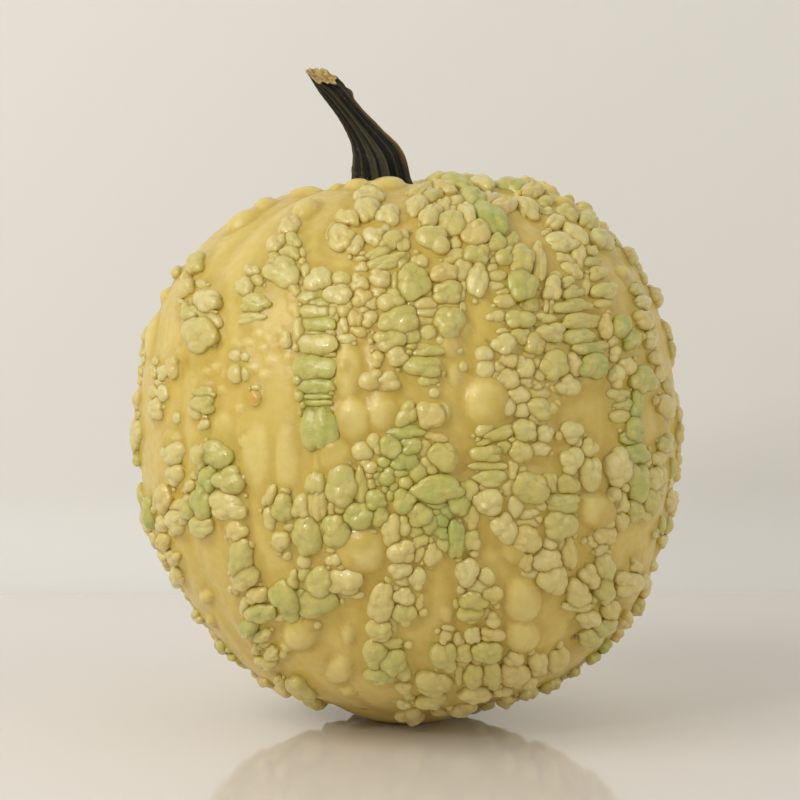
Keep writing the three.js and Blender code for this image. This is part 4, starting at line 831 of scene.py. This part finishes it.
def crowding(corners, wart, neighbours):
    """How close each corner of a wart is to its neighbours, from 0 to 1, narrowly and widely."""
    nearest = np.full(len(corners), 10.0)
    for other in neighbours:
        frame_of = np.stack([other.half_a, other.half_b, other.normal], axis=1)
        a, b, up = np.linalg.inv(frame_of) @ (corners - other.point).T
        places, sizes, tops = other.lobes[:, :2], other.lobes[:, 2:4], other.lobes[:, 4]
        offset = np.stack([a, b], axis=1) - places[:, None]
        level = np.linalg.norm(offset / sizes[:, None], axis=2)
        rise = np.maximum(0, up) / (tops[:, None] * STEEPER * other.height)
        share = (level ** WART_SQUARENESS + rise ** WART_SQUARENESS) ** (1 / WART_SQUARENESS)
        length = np.hypot(np.linalg.norm(offset, axis=2) * other.size, up)
        gap = length * (1 - 1 / np.maximum(share, 0.2))
        nearest = np.minimum(nearest, gap.min(axis=0))
    return 1 - smooth_step(*NARROW_CREASE_SHADE, nearest), 1 - smooth_step(*WIDE_HOLLOW_SHADE, nearest)


def make_warts(name, warts, colours, near_warts, draw):
    """The warts on one side of the fruit, pressed into one another."""
    patterns = [(least, dome_pattern(sides, rings)) for least, sides, rings in WART_FINENESS]
    corners, triangles = [], []
    values = {"green": [], "tint": [], "crease": [], "painted_hollow_shade": []}
    count = 0
    for wart in warts:
        pattern = next(found for least, found in patterns if wart.size >= least)
        dome, valley, together = dome_of(wart, pattern, draw)
        # Painted shade: creases and hollows are darkened by the gaps to neighbouring warts, the valleys
        # between lobes and the low sides of the dome
        low = 1 - smooth_step(0.05, 0.5, together)
        narrow, wide = crowding(dome, wart, near_warts[wart])
        values["crease"].append(np.maximum(narrow, np.maximum(0.22 * low, 0.6 * valley)))
        values["painted_hollow_shade"].append(np.maximum(0.8 * wide, np.maximum(0.35 * low, 0.7 * valley)))
        green, tint = colours[wart]
        values["green"].append(np.full(len(dome), green))
        values["tint"].append(np.full(len(dome), tint))
        corners.append(dome)
        triangles.append(pattern[3] + count)
        count += len(dome)
    domes = bpy.data.meshes.new(name)
    every = np.concatenate(triangles).ravel()
    domes.vertices.add(count)
    domes.vertices.foreach_set("co", (np.concatenate(corners) * MM).ravel())
    domes.loops.add(len(every))
    domes.loops.foreach_set("vertex_index", every)
    domes.polygons.add(len(every) // 3)
    domes.polygons.foreach_set("loop_start", np.arange(0, len(every), 3))
    domes.update(calc_edges=True)
    piece = bpy.data.objects.new(name, domes)
    bpy.context.collection.objects.link(piece)
    finish_surface(piece)
    for value, lists in values.items():
        add_values(piece, value, np.concatenate(lists))
    return piece


def finish_surface(piece):
    """Keeps a piece inside the box of the solids, and shades it smooth."""
    set_corners(piece, np.clip(corners_of(piece), *cad_box))
    piece.data.shade_smooth()


def make_skin(soft, warts):
    """The bare skin with its blisters: a cube of fine squares that is blown up to the fruit's shape."""
    skin = add_shape("bare_skin", bpy.ops.mesh.primitive_cube_add, size=2)
    point = skin_point(unit(np.tan(cut_squares(skin, SKIN_CUTS) * math.pi / 4)))
    out = unit(point - MIDDLE_POINT)
    broad, fine = (seeded_random(seed) for seed in SWELL_SEEDS)
    swell = 0.28 * wavy(point, broad, 45) + 0.05 * wavy(point, fine, 16)
    swell *= smooth_step(2, 16, point[:, 2])
    from_stem = np.hypot(point[:, 0] - STEM_X, point[:, 1])
    swell *= np.where(point[:, 2] > WAIST_HEIGHT, smooth_step(SEAT_RADIUS, SEAT_RADIUS + 6, from_stem), 1)
    rise, top = soft_rise(point, soft)
    near = nearness(point, warts)
    pad = PAD_RISE * (1 - smooth_step(0.95, 1.65, near)) * smooth_step(4, 12, point[:, 2])
    set_corners(skin, (point + out * (rise + swell + pad)[:, None]) * MM)
    finish_surface(skin)
    # Painted shade on the skin round the feet of warts
    add_values(skin, "foot", 1 - smooth_step(1.1, 2.4, near))
    add_values(skin, "crusty", 1 - smooth_step(1.1, 1.5, near))
    # Painted light on the tops of blisters and other soft swellings
    add_values(skin, "pale", top)
    return skin


def add_values(piece, name, values):
    """Values at the corners of a piece, for its material to read."""
    piece.data.attributes.new(name, "FLOAT", "POINT")
    piece.data.attributes[name].data.foreach_set("value", np.ascontiguousarray(values, np.float32))


def hollowness(piece):
    """How far each corner lies below the average of its surroundings, in millimetres."""
    corners = corners_of(piece) / MM
    edges = np.empty(len(piece.data.edges) * 2, int)
    piece.data.edges.foreach_get("vertices", edges)
    first, second = edges[0::2], edges[1::2]
    ends = np.concatenate([first, second])
    others = np.concatenate([second, first])
    neighbours = np.maximum(1, np.bincount(ends, minlength=len(corners)))
    eased = corners.copy()
    for _ in range(HOLLOW_ROUNDS):
        sums = [np.bincount(ends, eased[others, axis], len(corners)) for axis in range(3)]
        eased = 0.5 * eased + 0.5 * np.stack(sums, axis=1) / neighbours[:, None]
    normals = np.empty(len(corners) * 3, np.float32)
    piece.data.vertex_normals.foreach_get("vector", normals)
    return ((eased - corners) * normals.reshape(-1, 3)).sum(axis=1)


def wart_finder(warts):
    """A tree of the warts' places, in which near ones are found fast."""
    finder = KDTree(len(warts))
    for i, wart in enumerate(warts):
        finder.insert(wart.point, i)
    finder.balance()
    return finder


def neighbours_of(warts):
    """The warts that each wart may touch."""
    finder = wart_finder(warts)
    widest = max(wart.size for wart in warts)
    beside = {}
    for wart in warts:
        found = finder.find_range(wart.point, 1.3 * (wart.size + widest) + 2)
        beside[wart] = [warts[i] for _, i, apart in found
                        if warts[i] is not wart and apart < 1.3 * (wart.size + warts[i].size) + 2]
    return beside


def nearness(corners, warts):
    """How near each corner is to a wart, in half widths of that wart."""
    finder = wart_finder(warts)
    near = np.empty(len(corners))
    for i, corner in enumerate(corners):
        near[i] = min(apart / warts[found].size for _, found, apart in finder.find_n(corner, 5))
    return near


def spots_share(corners, spots, softness):
    """How strongly round spots that are listed in the front view colour each corner."""
    table = np.array([list(spot) + [1] * (4 - len(spot)) for spot in spots], float)
    share = np.zeros(len(corners))
    for centre, (_, _, reach, strength) in zip(seen_points(table[:, 0], table[:, 1]), table):
        reach = reach * EYE_DISTANCE / PICTURE_SCALE
        apart = np.linalg.norm(corners - centre, axis=1)
        beyond = smooth_step(reach * (1 - softness), reach * (1 + softness), apart)
        share = np.maximum(share, strength * (1 - beyond))
    return share


def hidden_green(points):
    """Green that comes and goes in patches where no front view reaches."""
    broad, fine = (seeded_random(seed) for seed in GREEN_SEEDS)
    swell = wavy(points, broad, 55) + 0.5 * wavy(points, fine, 24)
    turn = np.arctan2(points[:, 0], -points[:, 1]) / RADIANS
    return smooth_step(0.1, 0.9, swell) * smooth_step(HIDDEN_FROM - 6, HIDDEN_FROM + 4, np.abs(turn))


def wart_colours(warts):
    """How green each wart is, and its own shade of cream."""
    draw = seeded_random(COLOUR_SEED)
    centres = np.array([wart.point + wart.normal * wart.height for wart in warts])
    greens = spots_share(centres, GREEN_PATCHES, 0.45) + hidden_green(centres)
    return {wart: (min(1, green * (0.6 + 0.4 * draw())), draw()) for wart, green in zip(warts, greens)}


def add_marks(piece, corners):
    """Where the small brown scars and yellow specks lie."""
    add_values(piece, "scar", spots_share(corners, BROWN_SCARS, 0.35))
    add_values(piece, "speck", spots_share(corners, YELLOW_SPECKS, 0.4))


def colour_warts(piece):
    """What varies within a wart: deeper green towards the middle of a green patch, scars and specks."""
    corners = corners_of(piece) / MM
    greens = np.empty(len(corners), np.float32)
    piece.data.attributes["green"].data.foreach_get("value", greens)
    within = spots_share(corners, GREEN_PATCHES, 0.6)
    piece.data.attributes["green"].data.foreach_set("value", np.clip(0.75 * greens + 0.3 * within, 0, 1))
    add_marks(piece, corners)


def colour_skin(skin):
    """What the skin's material reads: green, painted light where it bulges and painted shade in its hollows,
    scars and specks.
    """
    corners = corners_of(skin) / MM
    add_values(skin, "green", spots_share(corners, GREEN_PATCHES, 0.7))
    depth = hollowness(skin)
    # Painted light where the skin bulges, painted shade in its hollows
    add_values(skin, "painted_light_on_raised", smooth_step(0.02, 0.35, -depth))
    add_values(skin, "painted_hollow_shade", smooth_step(0.02, 0.5, depth))
    add_marks(skin, corners)


def along_line(points, share):
    """A smooth line through points, at shares of its length in points."""
    table = np.array(points, float)
    place = np.clip(share, 0, 1) * (len(table) - 1)
    i = np.minimum(place.astype(int), len(table) - 2)
    t = (place - i)[:, None]
    before = np.where((i > 0)[:, None], table[np.maximum(i - 1, 0)], 2 * table[0] - table[1])
    after = np.where((i < len(table) - 2)[:, None], table[np.minimum(i + 2, len(table) - 1)],
                     2 * table[-1] - table[-2])
    slope_a, slope_b = (table[i + 1] - before) / 2, (after - table[i]) / 2
    return ((2 * t ** 3 - 3 * t ** 2 + 1) * table[i] + (t ** 3 - 2 * t ** 2 + t) * slope_a
            + (3 * t ** 2 - 2 * t ** 3) * table[i + 1] + (t ** 3 - t ** 2) * slope_b)


def turned_from(turn, other):
    """The angle between turns, at most half a turn."""
    return np.abs((turn - other + math.pi) % (2 * math.pi) - math.pi)


def make_stem_bar():
    """A many-sided bar, two high, with its sides cut into rings."""
    stem = add_shape("dry_stem", bpy.ops.mesh.primitive_cylinder_add, vertices=STEM_SIDES, radius=1, depth=2,
                     end_fill_type="TRIFAN")
    corners = corners_of(stem)
    bpy.ops.object.mode_set(mode="EDIT")
    bpy.ops.mesh.select_mode(type="EDGE")
    bpy.ops.object.mode_set(mode="OBJECT")
    for face in stem.data.polygons:
        face.select = False
    for edge in stem.data.edges:
        a, b = edge.vertices
        edge.select = bool(corners[a][2] * corners[b][2] < 0)
    bpy.ops.object.mode_set(mode="EDIT")
    bpy.ops.mesh.subdivide(number_cuts=STEM_CUTS)
    bpy.ops.object.mode_set(mode="OBJECT")
    return stem


def make_stem():
    """The dry stem: the bar, bent, ridged, flared at its foot and cut off ragged."""
    stem = make_stem_bar()
    corners = corners_of(stem)
    level = np.hypot(corners[:, 0], corners[:, 1])
    turn = np.where(level > 0.5, np.arctan2(corners[:, 1], corners[:, 0]), 0)
    ring = (corners[:, 2] + 1) / 2 * (STEM_RINGS + CUT_RINGS)
    along = np.clip(ring / STEM_RINGS, 0, 1)
    inward = np.clip((ring - STEM_RINGS) / CUT_RINGS, 0, 1)
    width = along_line([[row[3]] for row in STEM_LINE], along)[:, 0]
    middle = along_line([row[:3] for row in STEM_LINE], along)
    ahead = unit(along_line([row[:3] for row in STEM_LINE], along + 0.005)
                 - along_line([row[:3] for row in STEM_LINE], along - 0.005))
    right = unit(np.array([1.0, 0, 0]) - ahead * ahead[:, :1])
    back = np.cross(ahead, right)
    cut = smooth_step(CUT_FROM, 1, along)[:, None]
    right = unit(right * (1 - cut) + CUT_RIGHT * cut)
    back = unit(back * (1 - cut) + CUT_BACK * cut)
    twisted = turn + STEM_TWIST * along
    ridges = 0.5 + 0.5 * np.cos(STEM_RIDGES * twisted)
    fine = 0.5 + 0.5 * np.cos(STEM_FINE_RIDGES * twisted + 1)
    fibres = np.sin(31 * twisted + 2 * np.sin(7 * along))
    fibres = fibres + 0.6 * np.sin(47 * twisted + 3 * np.sin(9 * along + 1))
    shape = 1 - STEM_RIDGE_DEPTH * (1 - ridges) - STEM_FINE_DEPTH * (1 - fine) + 0.032 * fibres
    ragged = np.sin(5 * turn + 1) + 0.7 * np.sin(9 * turn + 2.4) + 0.5 * np.sin(17 * turn)
    across = np.where(level > 0.5, 1 - inward, 0)
    radius = width / 2 * shape * across
    spot = (middle + right * (radius * np.cos(turn))[:, None] + back * (radius * np.sin(turn))[:, None])
    up = unit(np.cross(CUT_RIGHT, CUT_BACK))
    edge = smooth_step(0.93, 1, along) * (1 - smooth_step(0, 0.35, inward))
    corky = smooth_step(0.1, 0.4, inward)
    crumbly = wavy(spot, seeded_random(CORK_SEED), 3.2)
    lift = 0.45 * edge * ragged - CUT_DEPTH * corky + 0.35 * corky * crumbly
    spot = spot + up * lift[:, None]
    from_knob = np.linalg.norm(spot - KNOB, axis=1)
    away = unit(spot - middle + 1e-6)
    bulge = KNOB_RISE * (1 - smooth_step(0.2, 1, from_knob / KNOB_REACH)) * (across > 0.9)
    spot = spot + away * bulge[:, None]
    foot = SEAT_HEIGHT + STEM_GAP
    base = ring < 0.5
    spot[:, 2] = np.where(base, foot, np.maximum(foot + 0.1 * np.minimum(ring, 4), spot[:, 2]))
    spot[:, 2] = np.minimum(spot[:, 2], cad_box[1][2] / MM - 0.05)
    hub = base & (level < 0.5)
    spot[hub] = np.array([STEM_LINE[0][0], STEM_LINE[0][1], foot])
    set_corners(stem, spot * MM)
    finish_surface(stem)
    bark_edge = 0.992 - 0.04 * np.exp(-(turned_from(turn, CORK_TURN) / 0.3) ** 2)
    bark_edge = bark_edge + 0.006 * np.sin(8 * turn + 2) + 0.005 * np.sin(19 * turn)
    add_values(stem, "cork", smooth_step(-0.006, 0.006, along + 0.2 * inward - bark_edge))
    add_values(stem, "ridge", ridges * 0.32 + fine * 0.4 + 0.12 * fibres + 0.12)
    add_values(stem, "along", along)
    add_values(stem, "twist", twisted)
    rubbed = smooth_step(0.3, 0.42, along) * (1 - smooth_step(0.66, 0.8, along))
    rubbed = rubbed * np.exp(-(turned_from(turn, RUBBED_TURN) / 0.13) ** 2)
    add_values(stem, "rubbed", rubbed)
    return stem


def place_node(tree, kind, inputs=None, **settings):
    """A shader node with its settings made and its inputs set to values or linked to other nodes."""
    node = tree.nodes.new(kind)
    for name, value in settings.items():
        setattr(node, name, value)
    for name, value in (inputs or {}).items():
        if isinstance(value, bpy.types.NodeSocket):
            tree.links.new(value, node.inputs[name])
        else:
            node.inputs[name].default_value = value
    return node


def mix(tree, share, first, second, blend="MIX"):
    """A blend of two colours, each given as three numbers or as another node's output."""
    first = (*first, 1) if isinstance(first, tuple) and len(first) == 3 else first
    second = (*second, 1) if isinstance(second, tuple) and len(second) == 3 else second
    node = place_node(tree, "ShaderNodeMix", {0: share, 6: first, 7: second}, data_type="RGBA",
                      blend_type=blend)
    return node.outputs[2]


def maths(tree, operation, first, second=0.0):
    """The result of one operation on two values."""
    return place_node(tree, "ShaderNodeMath", {0: first, 1: second}, operation=operation).outputs[0]


def between(tree, value, low, high, to_low=0.0, to_high=1.0):
    """The value on a soft ramp from one level to another."""
    levels = {"Value": value, "From Min": low, "From Max": high, "To Min": to_low, "To Max": to_high}
    node = place_node(tree, "ShaderNodeMapRange", levels, interpolation_type="SMOOTHSTEP")
    return node.outputs["Result"]


def noise(tree, where, scale, detail=3.0, roughness=0.5):
    node = place_node(tree, "ShaderNodeTexNoise",
                      {"Vector": where, "Scale": scale, "Detail": detail, "Roughness": roughness})
    return node.outputs["Fac"]


def value_at(tree, name):
    """A value that the piece carries at its corners."""
    return place_node(tree, "ShaderNodeAttribute", attribute_name=name).outputs["Fac"]


def object_place(tree):
    """Where on the piece a point is, for patterns in space."""
    return place_node(tree, "ShaderNodeTexCoord").outputs["Object"]


def new_material(name):
    material = bpy.data.materials.new(name)
    material.use_nodes = True
    tree = material.node_tree
    return material, tree, tree.nodes["Principled BSDF"]


def set_shader(tree, shader, **inputs):
    """Sets inputs of the shader, or links them to other nodes."""
    for name, value in inputs.items():
        socket = shader.inputs[name.replace("_", " ")]
        if isinstance(value, bpy.types.NodeSocket):
            tree.links.new(value, socket)
        else:
            socket.default_value = value


def make_waxy_group():
    """What skin and warts share: a mottled waxy surface with pale pinprick specks and scars."""
    group = bpy.data.node_groups.new("waxy_surface", "ShaderNodeTree")
    for way, names in (("INPUT", ("Color", "Mottle", "Scar", "Speck", "Cobbles")),
                       ("OUTPUT", ("Color", "Roughness", "Height"))):
        for name in names:
            kind = "NodeSocketColor" if name == "Color" else "NodeSocketFloat"
            group.interface.new_socket(name, in_out=way, socket_type=kind)
    given = group.nodes.new("NodeGroupInput").outputs
    result = group.nodes.new("NodeGroupOutput").inputs
    where = object_place(group)
    broad = noise(group, where, 34, 3)
    small = noise(group, where, 260, 3)
    pale = between(group, broad, 0.3, 0.75, 0.0, 0.6)
    colour = mix(group, maths(group, "MULTIPLY", pale, given["Mottle"]), given["Color"],
                 mix(group, 0.5, given["Color"], (0.82, 0.70, 0.28)))
    dull = between(group, small, 0.35, 0.7, 0.0, 0.14)
    colour = mix(group, dull, colour, (0.72, 0.58, 0.24), "MULTIPLY")
    dots = place_node(group, "ShaderNodeTexVoronoi", {"Vector": where, "Scale": 420.0, "Randomness": 1.0},
                      feature="F1").outputs["Distance"]
    colour = mix(group, between(group, dots, 0.16, 0.05, 0.0, 0.2), colour, (0.95, 0.90, 0.60))
    torn = noise(group, where, 700, 3, 0.7)
    scar = maths(group, "MULTIPLY", given["Scar"], between(group, torn, 0.35, 0.6, 0.35, 1.0))
    colour = mix(group, scar, colour, (0.22, 0.10, 0.03))
    colour = mix(group, maths(group, "MULTIPLY", given["Speck"], 0.9), colour, (0.64, 0.37, 0.03))
    group.links.new(colour, result["Color"])
    rough = maths(group, "ADD", between(group, small, 0.3, 0.7, 0.34, 0.46),
                  maths(group, "MULTIPLY", scar, 0.3))
    group.links.new(rough, result["Roughness"])
    pores = noise(group, where, 1500, 2)
    height = maths(group, "ADD", small, maths(group, "MULTIPLY", pores, 0.12))
    cells = place_node(group, "ShaderNodeTexVoronoi", {"Vector": where, "Scale": 250.0, "Smoothness": 0.35},
                       feature="SMOOTH_F1").outputs["Distance"]
    height = maths(group, "SUBTRACT", height, maths(group, "MULTIPLY", cells, given["Cobbles"]))
    group.links.new(maths(group, "ADD", height, maths(group, "MULTIPLY", scar, 0.5)), result["Height"])
    return group


def finish_waxy(tree, shader, group, colour, mottle, depth, gloss, cobbles):
    """Lays the waxy surface over a colour, with bumps of a depth in metres and a thin gloss."""
    waxy = tree.nodes.new("ShaderNodeGroup")
    waxy.node_tree = group
    tree.links.new(colour, waxy.inputs["Color"])
    waxy.inputs["Mottle"].default_value = mottle
    waxy.inputs["Cobbles"].default_value = cobbles
    tree.links.new(value_at(tree, "scar"), waxy.inputs["Scar"])
    tree.links.new(value_at(tree, "speck"), waxy.inputs["Speck"])
    bump = place_node(tree, "ShaderNodeBump", {"Height": waxy.outputs["Height"], "Strength": 0.55,
                                               "Distance": depth})
    set_shader(tree, shader, Base_Color=waxy.outputs["Color"], Roughness=waxy.outputs["Roughness"],
               Normal=bump.outputs["Normal"], Subsurface_Weight=0.32, Subsurface_Scale=0.005,
               Subsurface_Radius=(1.0, 0.75, 0.25), Coat_Weight=gloss, Coat_Roughness=0.1)


def make_wart_material(group):
    """Wart crust: cream to green, each wart in its own tone, with painted amber or olive shade in its
    creases and hollows and on the low sides of its domes.
    """
    material, tree, shader = new_material("wart_crust")
    green, tint, crease = value_at(tree, "green"), value_at(tree, "tint"), value_at(tree, "crease")
    painted_hollow_shade = value_at(tree, "painted_hollow_shade")
    where = object_place(tree)
    cloudy = noise(tree, where, 150, 3)
    uneven = maths(tree, "MULTIPLY", green, between(tree, cloudy, 0.25, 0.7, 0.55, 1.15))
    cream = mix(tree, tint, (0.70, 0.62, 0.25), (0.68, 0.55, 0.17))
    colour = mix(tree, between(tree, uneven, 0.05, 0.55), cream, (0.56, 0.515, 0.135))
    colour = mix(tree, between(tree, uneven, 0.45, 1.0), colour, (0.41, 0.46, 0.095))
    # Painted shade: darker amber or olive in hollows and on the low sides of the domes
    low = mix(tree, between(tree, green, 0.3, 0.9), (0.56, 0.38, 0.03), (0.36, 0.38, 0.04))
    colour = mix(tree, maths(tree, "MULTIPLY", painted_hollow_shade, 0.4), colour, low)
    # Painted shade: deeper amber or olive along the creases where warts and lobes meet
    painted_crease_colour = mix(tree, between(tree, green, 0.3, 0.9), (0.46, 0.27, 0.01), (0.28, 0.27, 0.015))
    colour = mix(tree, maths(tree, "MULTIPLY", crease, 0.6), colour, painted_crease_colour)
    finish_waxy(tree, shader, group, colour, 0.35, 0.0014, 0.45, 0.8)
    return material


def make_skin_material(group):
    """Bare skin: buff yellow, with painted light where it bulges and on the tops of its swellings, and
    painted shade in its hollows and round the feet of warts.
    """
    material, tree, shader = new_material("buff_skin")
    where = object_place(tree)
    streaky = place_node(tree, "ShaderNodeMapping", {"Vector": where, "Scale": (60.0, 60.0, 14.0)})
    streaks = noise(tree, streaky.outputs[0], 1.0, 3)
    colour = mix(tree, between(tree, streaks, 0.3, 0.7), (0.65, 0.485, 0.10), (0.70, 0.545, 0.145))
    # Painted light on bulges and swelling tops, painted shade in hollows and round the feet of warts
    for name, share, tint in (("painted_light_on_raised", 0.5, (0.76, 0.60, 0.19)),
                              ("pale", 0.8, (0.72, 0.60, 0.20)),
                              ("green", 0.22, (0.52, 0.54, 0.15)),
                              ("painted_hollow_shade", 0.45, (0.52, 0.34, 0.04)),
                              ("foot", 0.62, (0.52, 0.36, 0.035)),
                              ("crusty", 0.2, (0.58, 0.45, 0.09))):
        colour = mix(tree, maths(tree, "MULTIPLY", value_at(tree, name), share), colour, tint)
    finish_waxy(tree, shader, group, colour, 0.3, 0.0004, 0.1, 0.0)
    return material


def make_stem_material():
    """Dry bark, nearly black in its grooves, with orange-brown rubbed edges and a pale corky cut."""
    material, tree, shader = new_material("dry_bark")
    ridge, cork = value_at(tree, "ridge"), value_at(tree, "cork")
    where = object_place(tree)
    combined = place_node(tree, "ShaderNodeCombineXYZ",
                          {"X": value_at(tree, "twist"), "Y": value_at(tree, "along")})
    strands = place_node(tree, "ShaderNodeMapping",
                         {"Vector": combined.outputs[0], "Scale": (9.0, 16.0, 1.0)})
    fibre = noise(tree, strands.outputs[0], 1.6, 6, 0.65)
    blotch = noise(tree, where, 170, 4)
    tone = maths(tree, "ADD", maths(tree, "MULTIPLY", ridge, 0.7), maths(tree, "MULTIPLY", fibre, 0.45))
    colour = mix(tree, between(tree, tone, 0.4, 0.95), (0.005, 0.005, 0.003), (0.10, 0.087, 0.045))
    blotched = maths(tree, "MULTIPLY", between(tree, blotch, 0.52, 0.72), 0.3)
    colour = mix(tree, blotched, colour, (0.08, 0.045, 0.02))
    pips = place_node(tree, "ShaderNodeTexVoronoi", {"Vector": where, "Scale": 330.0}, feature="F1")
    pips = between(tree, pips.outputs["Distance"], 0.17, 0.08, 0.0, 0.3)
    colour = mix(tree, pips, colour, (0.30, 0.28, 0.20))
    pith = noise(tree, where, 420, 5, 0.6)
    cut = mix(tree, between(tree, pith, 0.35, 0.62), (0.52, 0.28, 0.05), (0.86, 0.66, 0.30))
    colour = mix(tree, maths(tree, "MULTIPLY", value_at(tree, "rubbed"), 0.9), colour, (0.58, 0.28, 0.05))
    colour = mix(tree, cork, colour, cut)
    height = maths(tree, "ADD", maths(tree, "MULTIPLY", fibre, 0.7), maths(tree, "MULTIPLY", pith, 0.3))
    bump = place_node(tree, "ShaderNodeBump", {"Height": height, "Strength": 1.0, "Distance": 0.0025})
    rough = between(tree, fibre, 0.3, 0.7, 0.55, 0.8)
    set_shader(tree, shader, Base_Color=colour, Roughness=rough, Normal=bump.outputs["Normal"])
    shader.inputs["Specular IOR Level"].default_value = 0.35
    return material


def make_stage():
    """A polished pale floor and a plain wall behind it that shows from its front alone."""
    floor = add_shape("floor", bpy.ops.mesh.primitive_plane_add, size=8, location=(0, 0, -0.0002))
    material, tree, shader = new_material("polished_floor")
    soft = between(tree, noise(tree, object_place(tree), 3.0, 2), 0.3, 0.7, 0.05, 0.08)
    set_shader(tree, shader, Base_Color=(0.83, 0.79, 0.76, 1), Roughness=soft)
    floor.data.materials.append(material)
    wall = add_shape("backdrop", bpy.ops.mesh.primitive_plane_add, size=2)
    flat = cut_squares(wall, 31)
    share = (flat[:, 1] + 1) / 2
    turn = np.clip(share / 0.5, 0, 1) * math.pi / 2
    rise = np.clip((share - 0.5) / 0.5, 0, 1) * 1.6
    depth = BACKDROP_BEND * np.sin(turn)
    height = BACKDROP_BEND * (1 - np.cos(turn)) + rise
    lean = flat[:, 0] * BACKDROP_TURN
    set_corners(wall, np.stack([flat[:, 0] * 2.4, BACKDROP_FROM + depth + lean, height], axis=1))
    wall.data.shade_smooth()
    material, tree, shader = new_material("plain_wall")
    set_shader(tree, shader, Base_Color=(0.81, 0.805, 0.78, 1), Roughness=0.7)
    clear = tree.nodes.new("ShaderNodeBsdfTransparent")
    behind = tree.nodes.new("ShaderNodeNewGeometry").outputs["Backfacing"]
    both = place_node(tree, "ShaderNodeMixShader", {0: behind, 1: shader.outputs[0], 2: clear.outputs[0]})
    tree.links.new(both.outputs[0], tree.nodes["Material Output"].inputs["Surface"])
    wall.data.materials.append(material)


def add_soft_light(name, place, target, power, size, colour):
    """A square lamp that faces a target."""
    lamp = bpy.data.lights.new(name, "AREA")
    lamp.energy = power
    lamp.size = size
    lamp.color = colour
    light = bpy.data.objects.new(name, lamp)
    bpy.context.collection.objects.link(light)
    light.location = place
    light.rotation_euler = (Vector(target) - Vector(place)).to_track_quat("-Z", "Y").to_euler()


def make_camera():
    """The camera of the front view that the warts are listed in."""
    lens = bpy.data.cameras.new("camera")
    camera = bpy.data.objects.new("camera", lens)
    bpy.context.collection.objects.link(camera)
    lens.sensor_width = 36
    lens.lens = 36 * PICTURE_SCALE / PICTURE_SIZE
    lens.clip_start = 0.05
    camera.location = Vector(EYE * MM)
    camera.rotation_euler = (math.radians(90 - LOOK_DOWN), 0, 0)
    bpy.context.scene.camera = camera


def make_lights():
    """A large key light at the left, a weaker fill at the right and a small window light."""
    middle = (0, 0, 0.14)
    add_soft_light("key_light", (-1.3, -1.0, 1.45), middle, 18.8, 1.2, (1.0, 0.97, 0.92))
    add_soft_light("fill_light", (1.9, -0.9, 0.8), middle, 9.5, 1.4, (1.0, 0.96, 0.90))
    add_soft_light("window_light", (-1.0, -1.5, 0.9), middle, 6.5, 0.22, (1.0, 0.98, 0.95))
    world = bpy.data.worlds.new("room")
    bpy.context.scene.world = world
    world.use_nodes = True
    sky = world.node_tree.nodes["Background"].inputs
    sky["Color"].default_value = (0.80, 0.77, 0.71, 1)
    sky["Strength"].default_value = 0.5
    bpy.context.scene.view_settings.view_transform = "Standard"


make_camera()
warts, soft = squash_warts()
colours = wart_colours(warts)
beside = neighbours_of(warts)
waxy = make_waxy_group()
crust = make_wart_material(waxy)
pieces = []
shape_draw = seeded_random(SHAPE_SEED)
sector = 360 / len(WART_PIECES)
sectors = [math.floor((math.atan2(wart.point[0], -wart.point[1]) / RADIANS % 360 + sector / 2) / sector)
           % len(WART_PIECES) for wart in warts]
for order, name in enumerate(WART_PIECES):
    here = [wart for wart, where in zip(warts, sectors) if where == order]
    piece = make_warts(name, here, colours, beside, shape_draw)
    colour_warts(piece)
    piece.data.materials.append(crust)
    pieces.append(piece)
skin = make_skin(soft, warts)
colour_skin(skin)
skin.data.materials.append(make_skin_material(waxy))
for piece in [skin] + pieces:
    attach(piece, "root")
    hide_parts("fruit")
stem = make_stem()
stem.data.materials.append(make_stem_material())
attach(stem, "root")
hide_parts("stem")
make_stage()
make_lights()
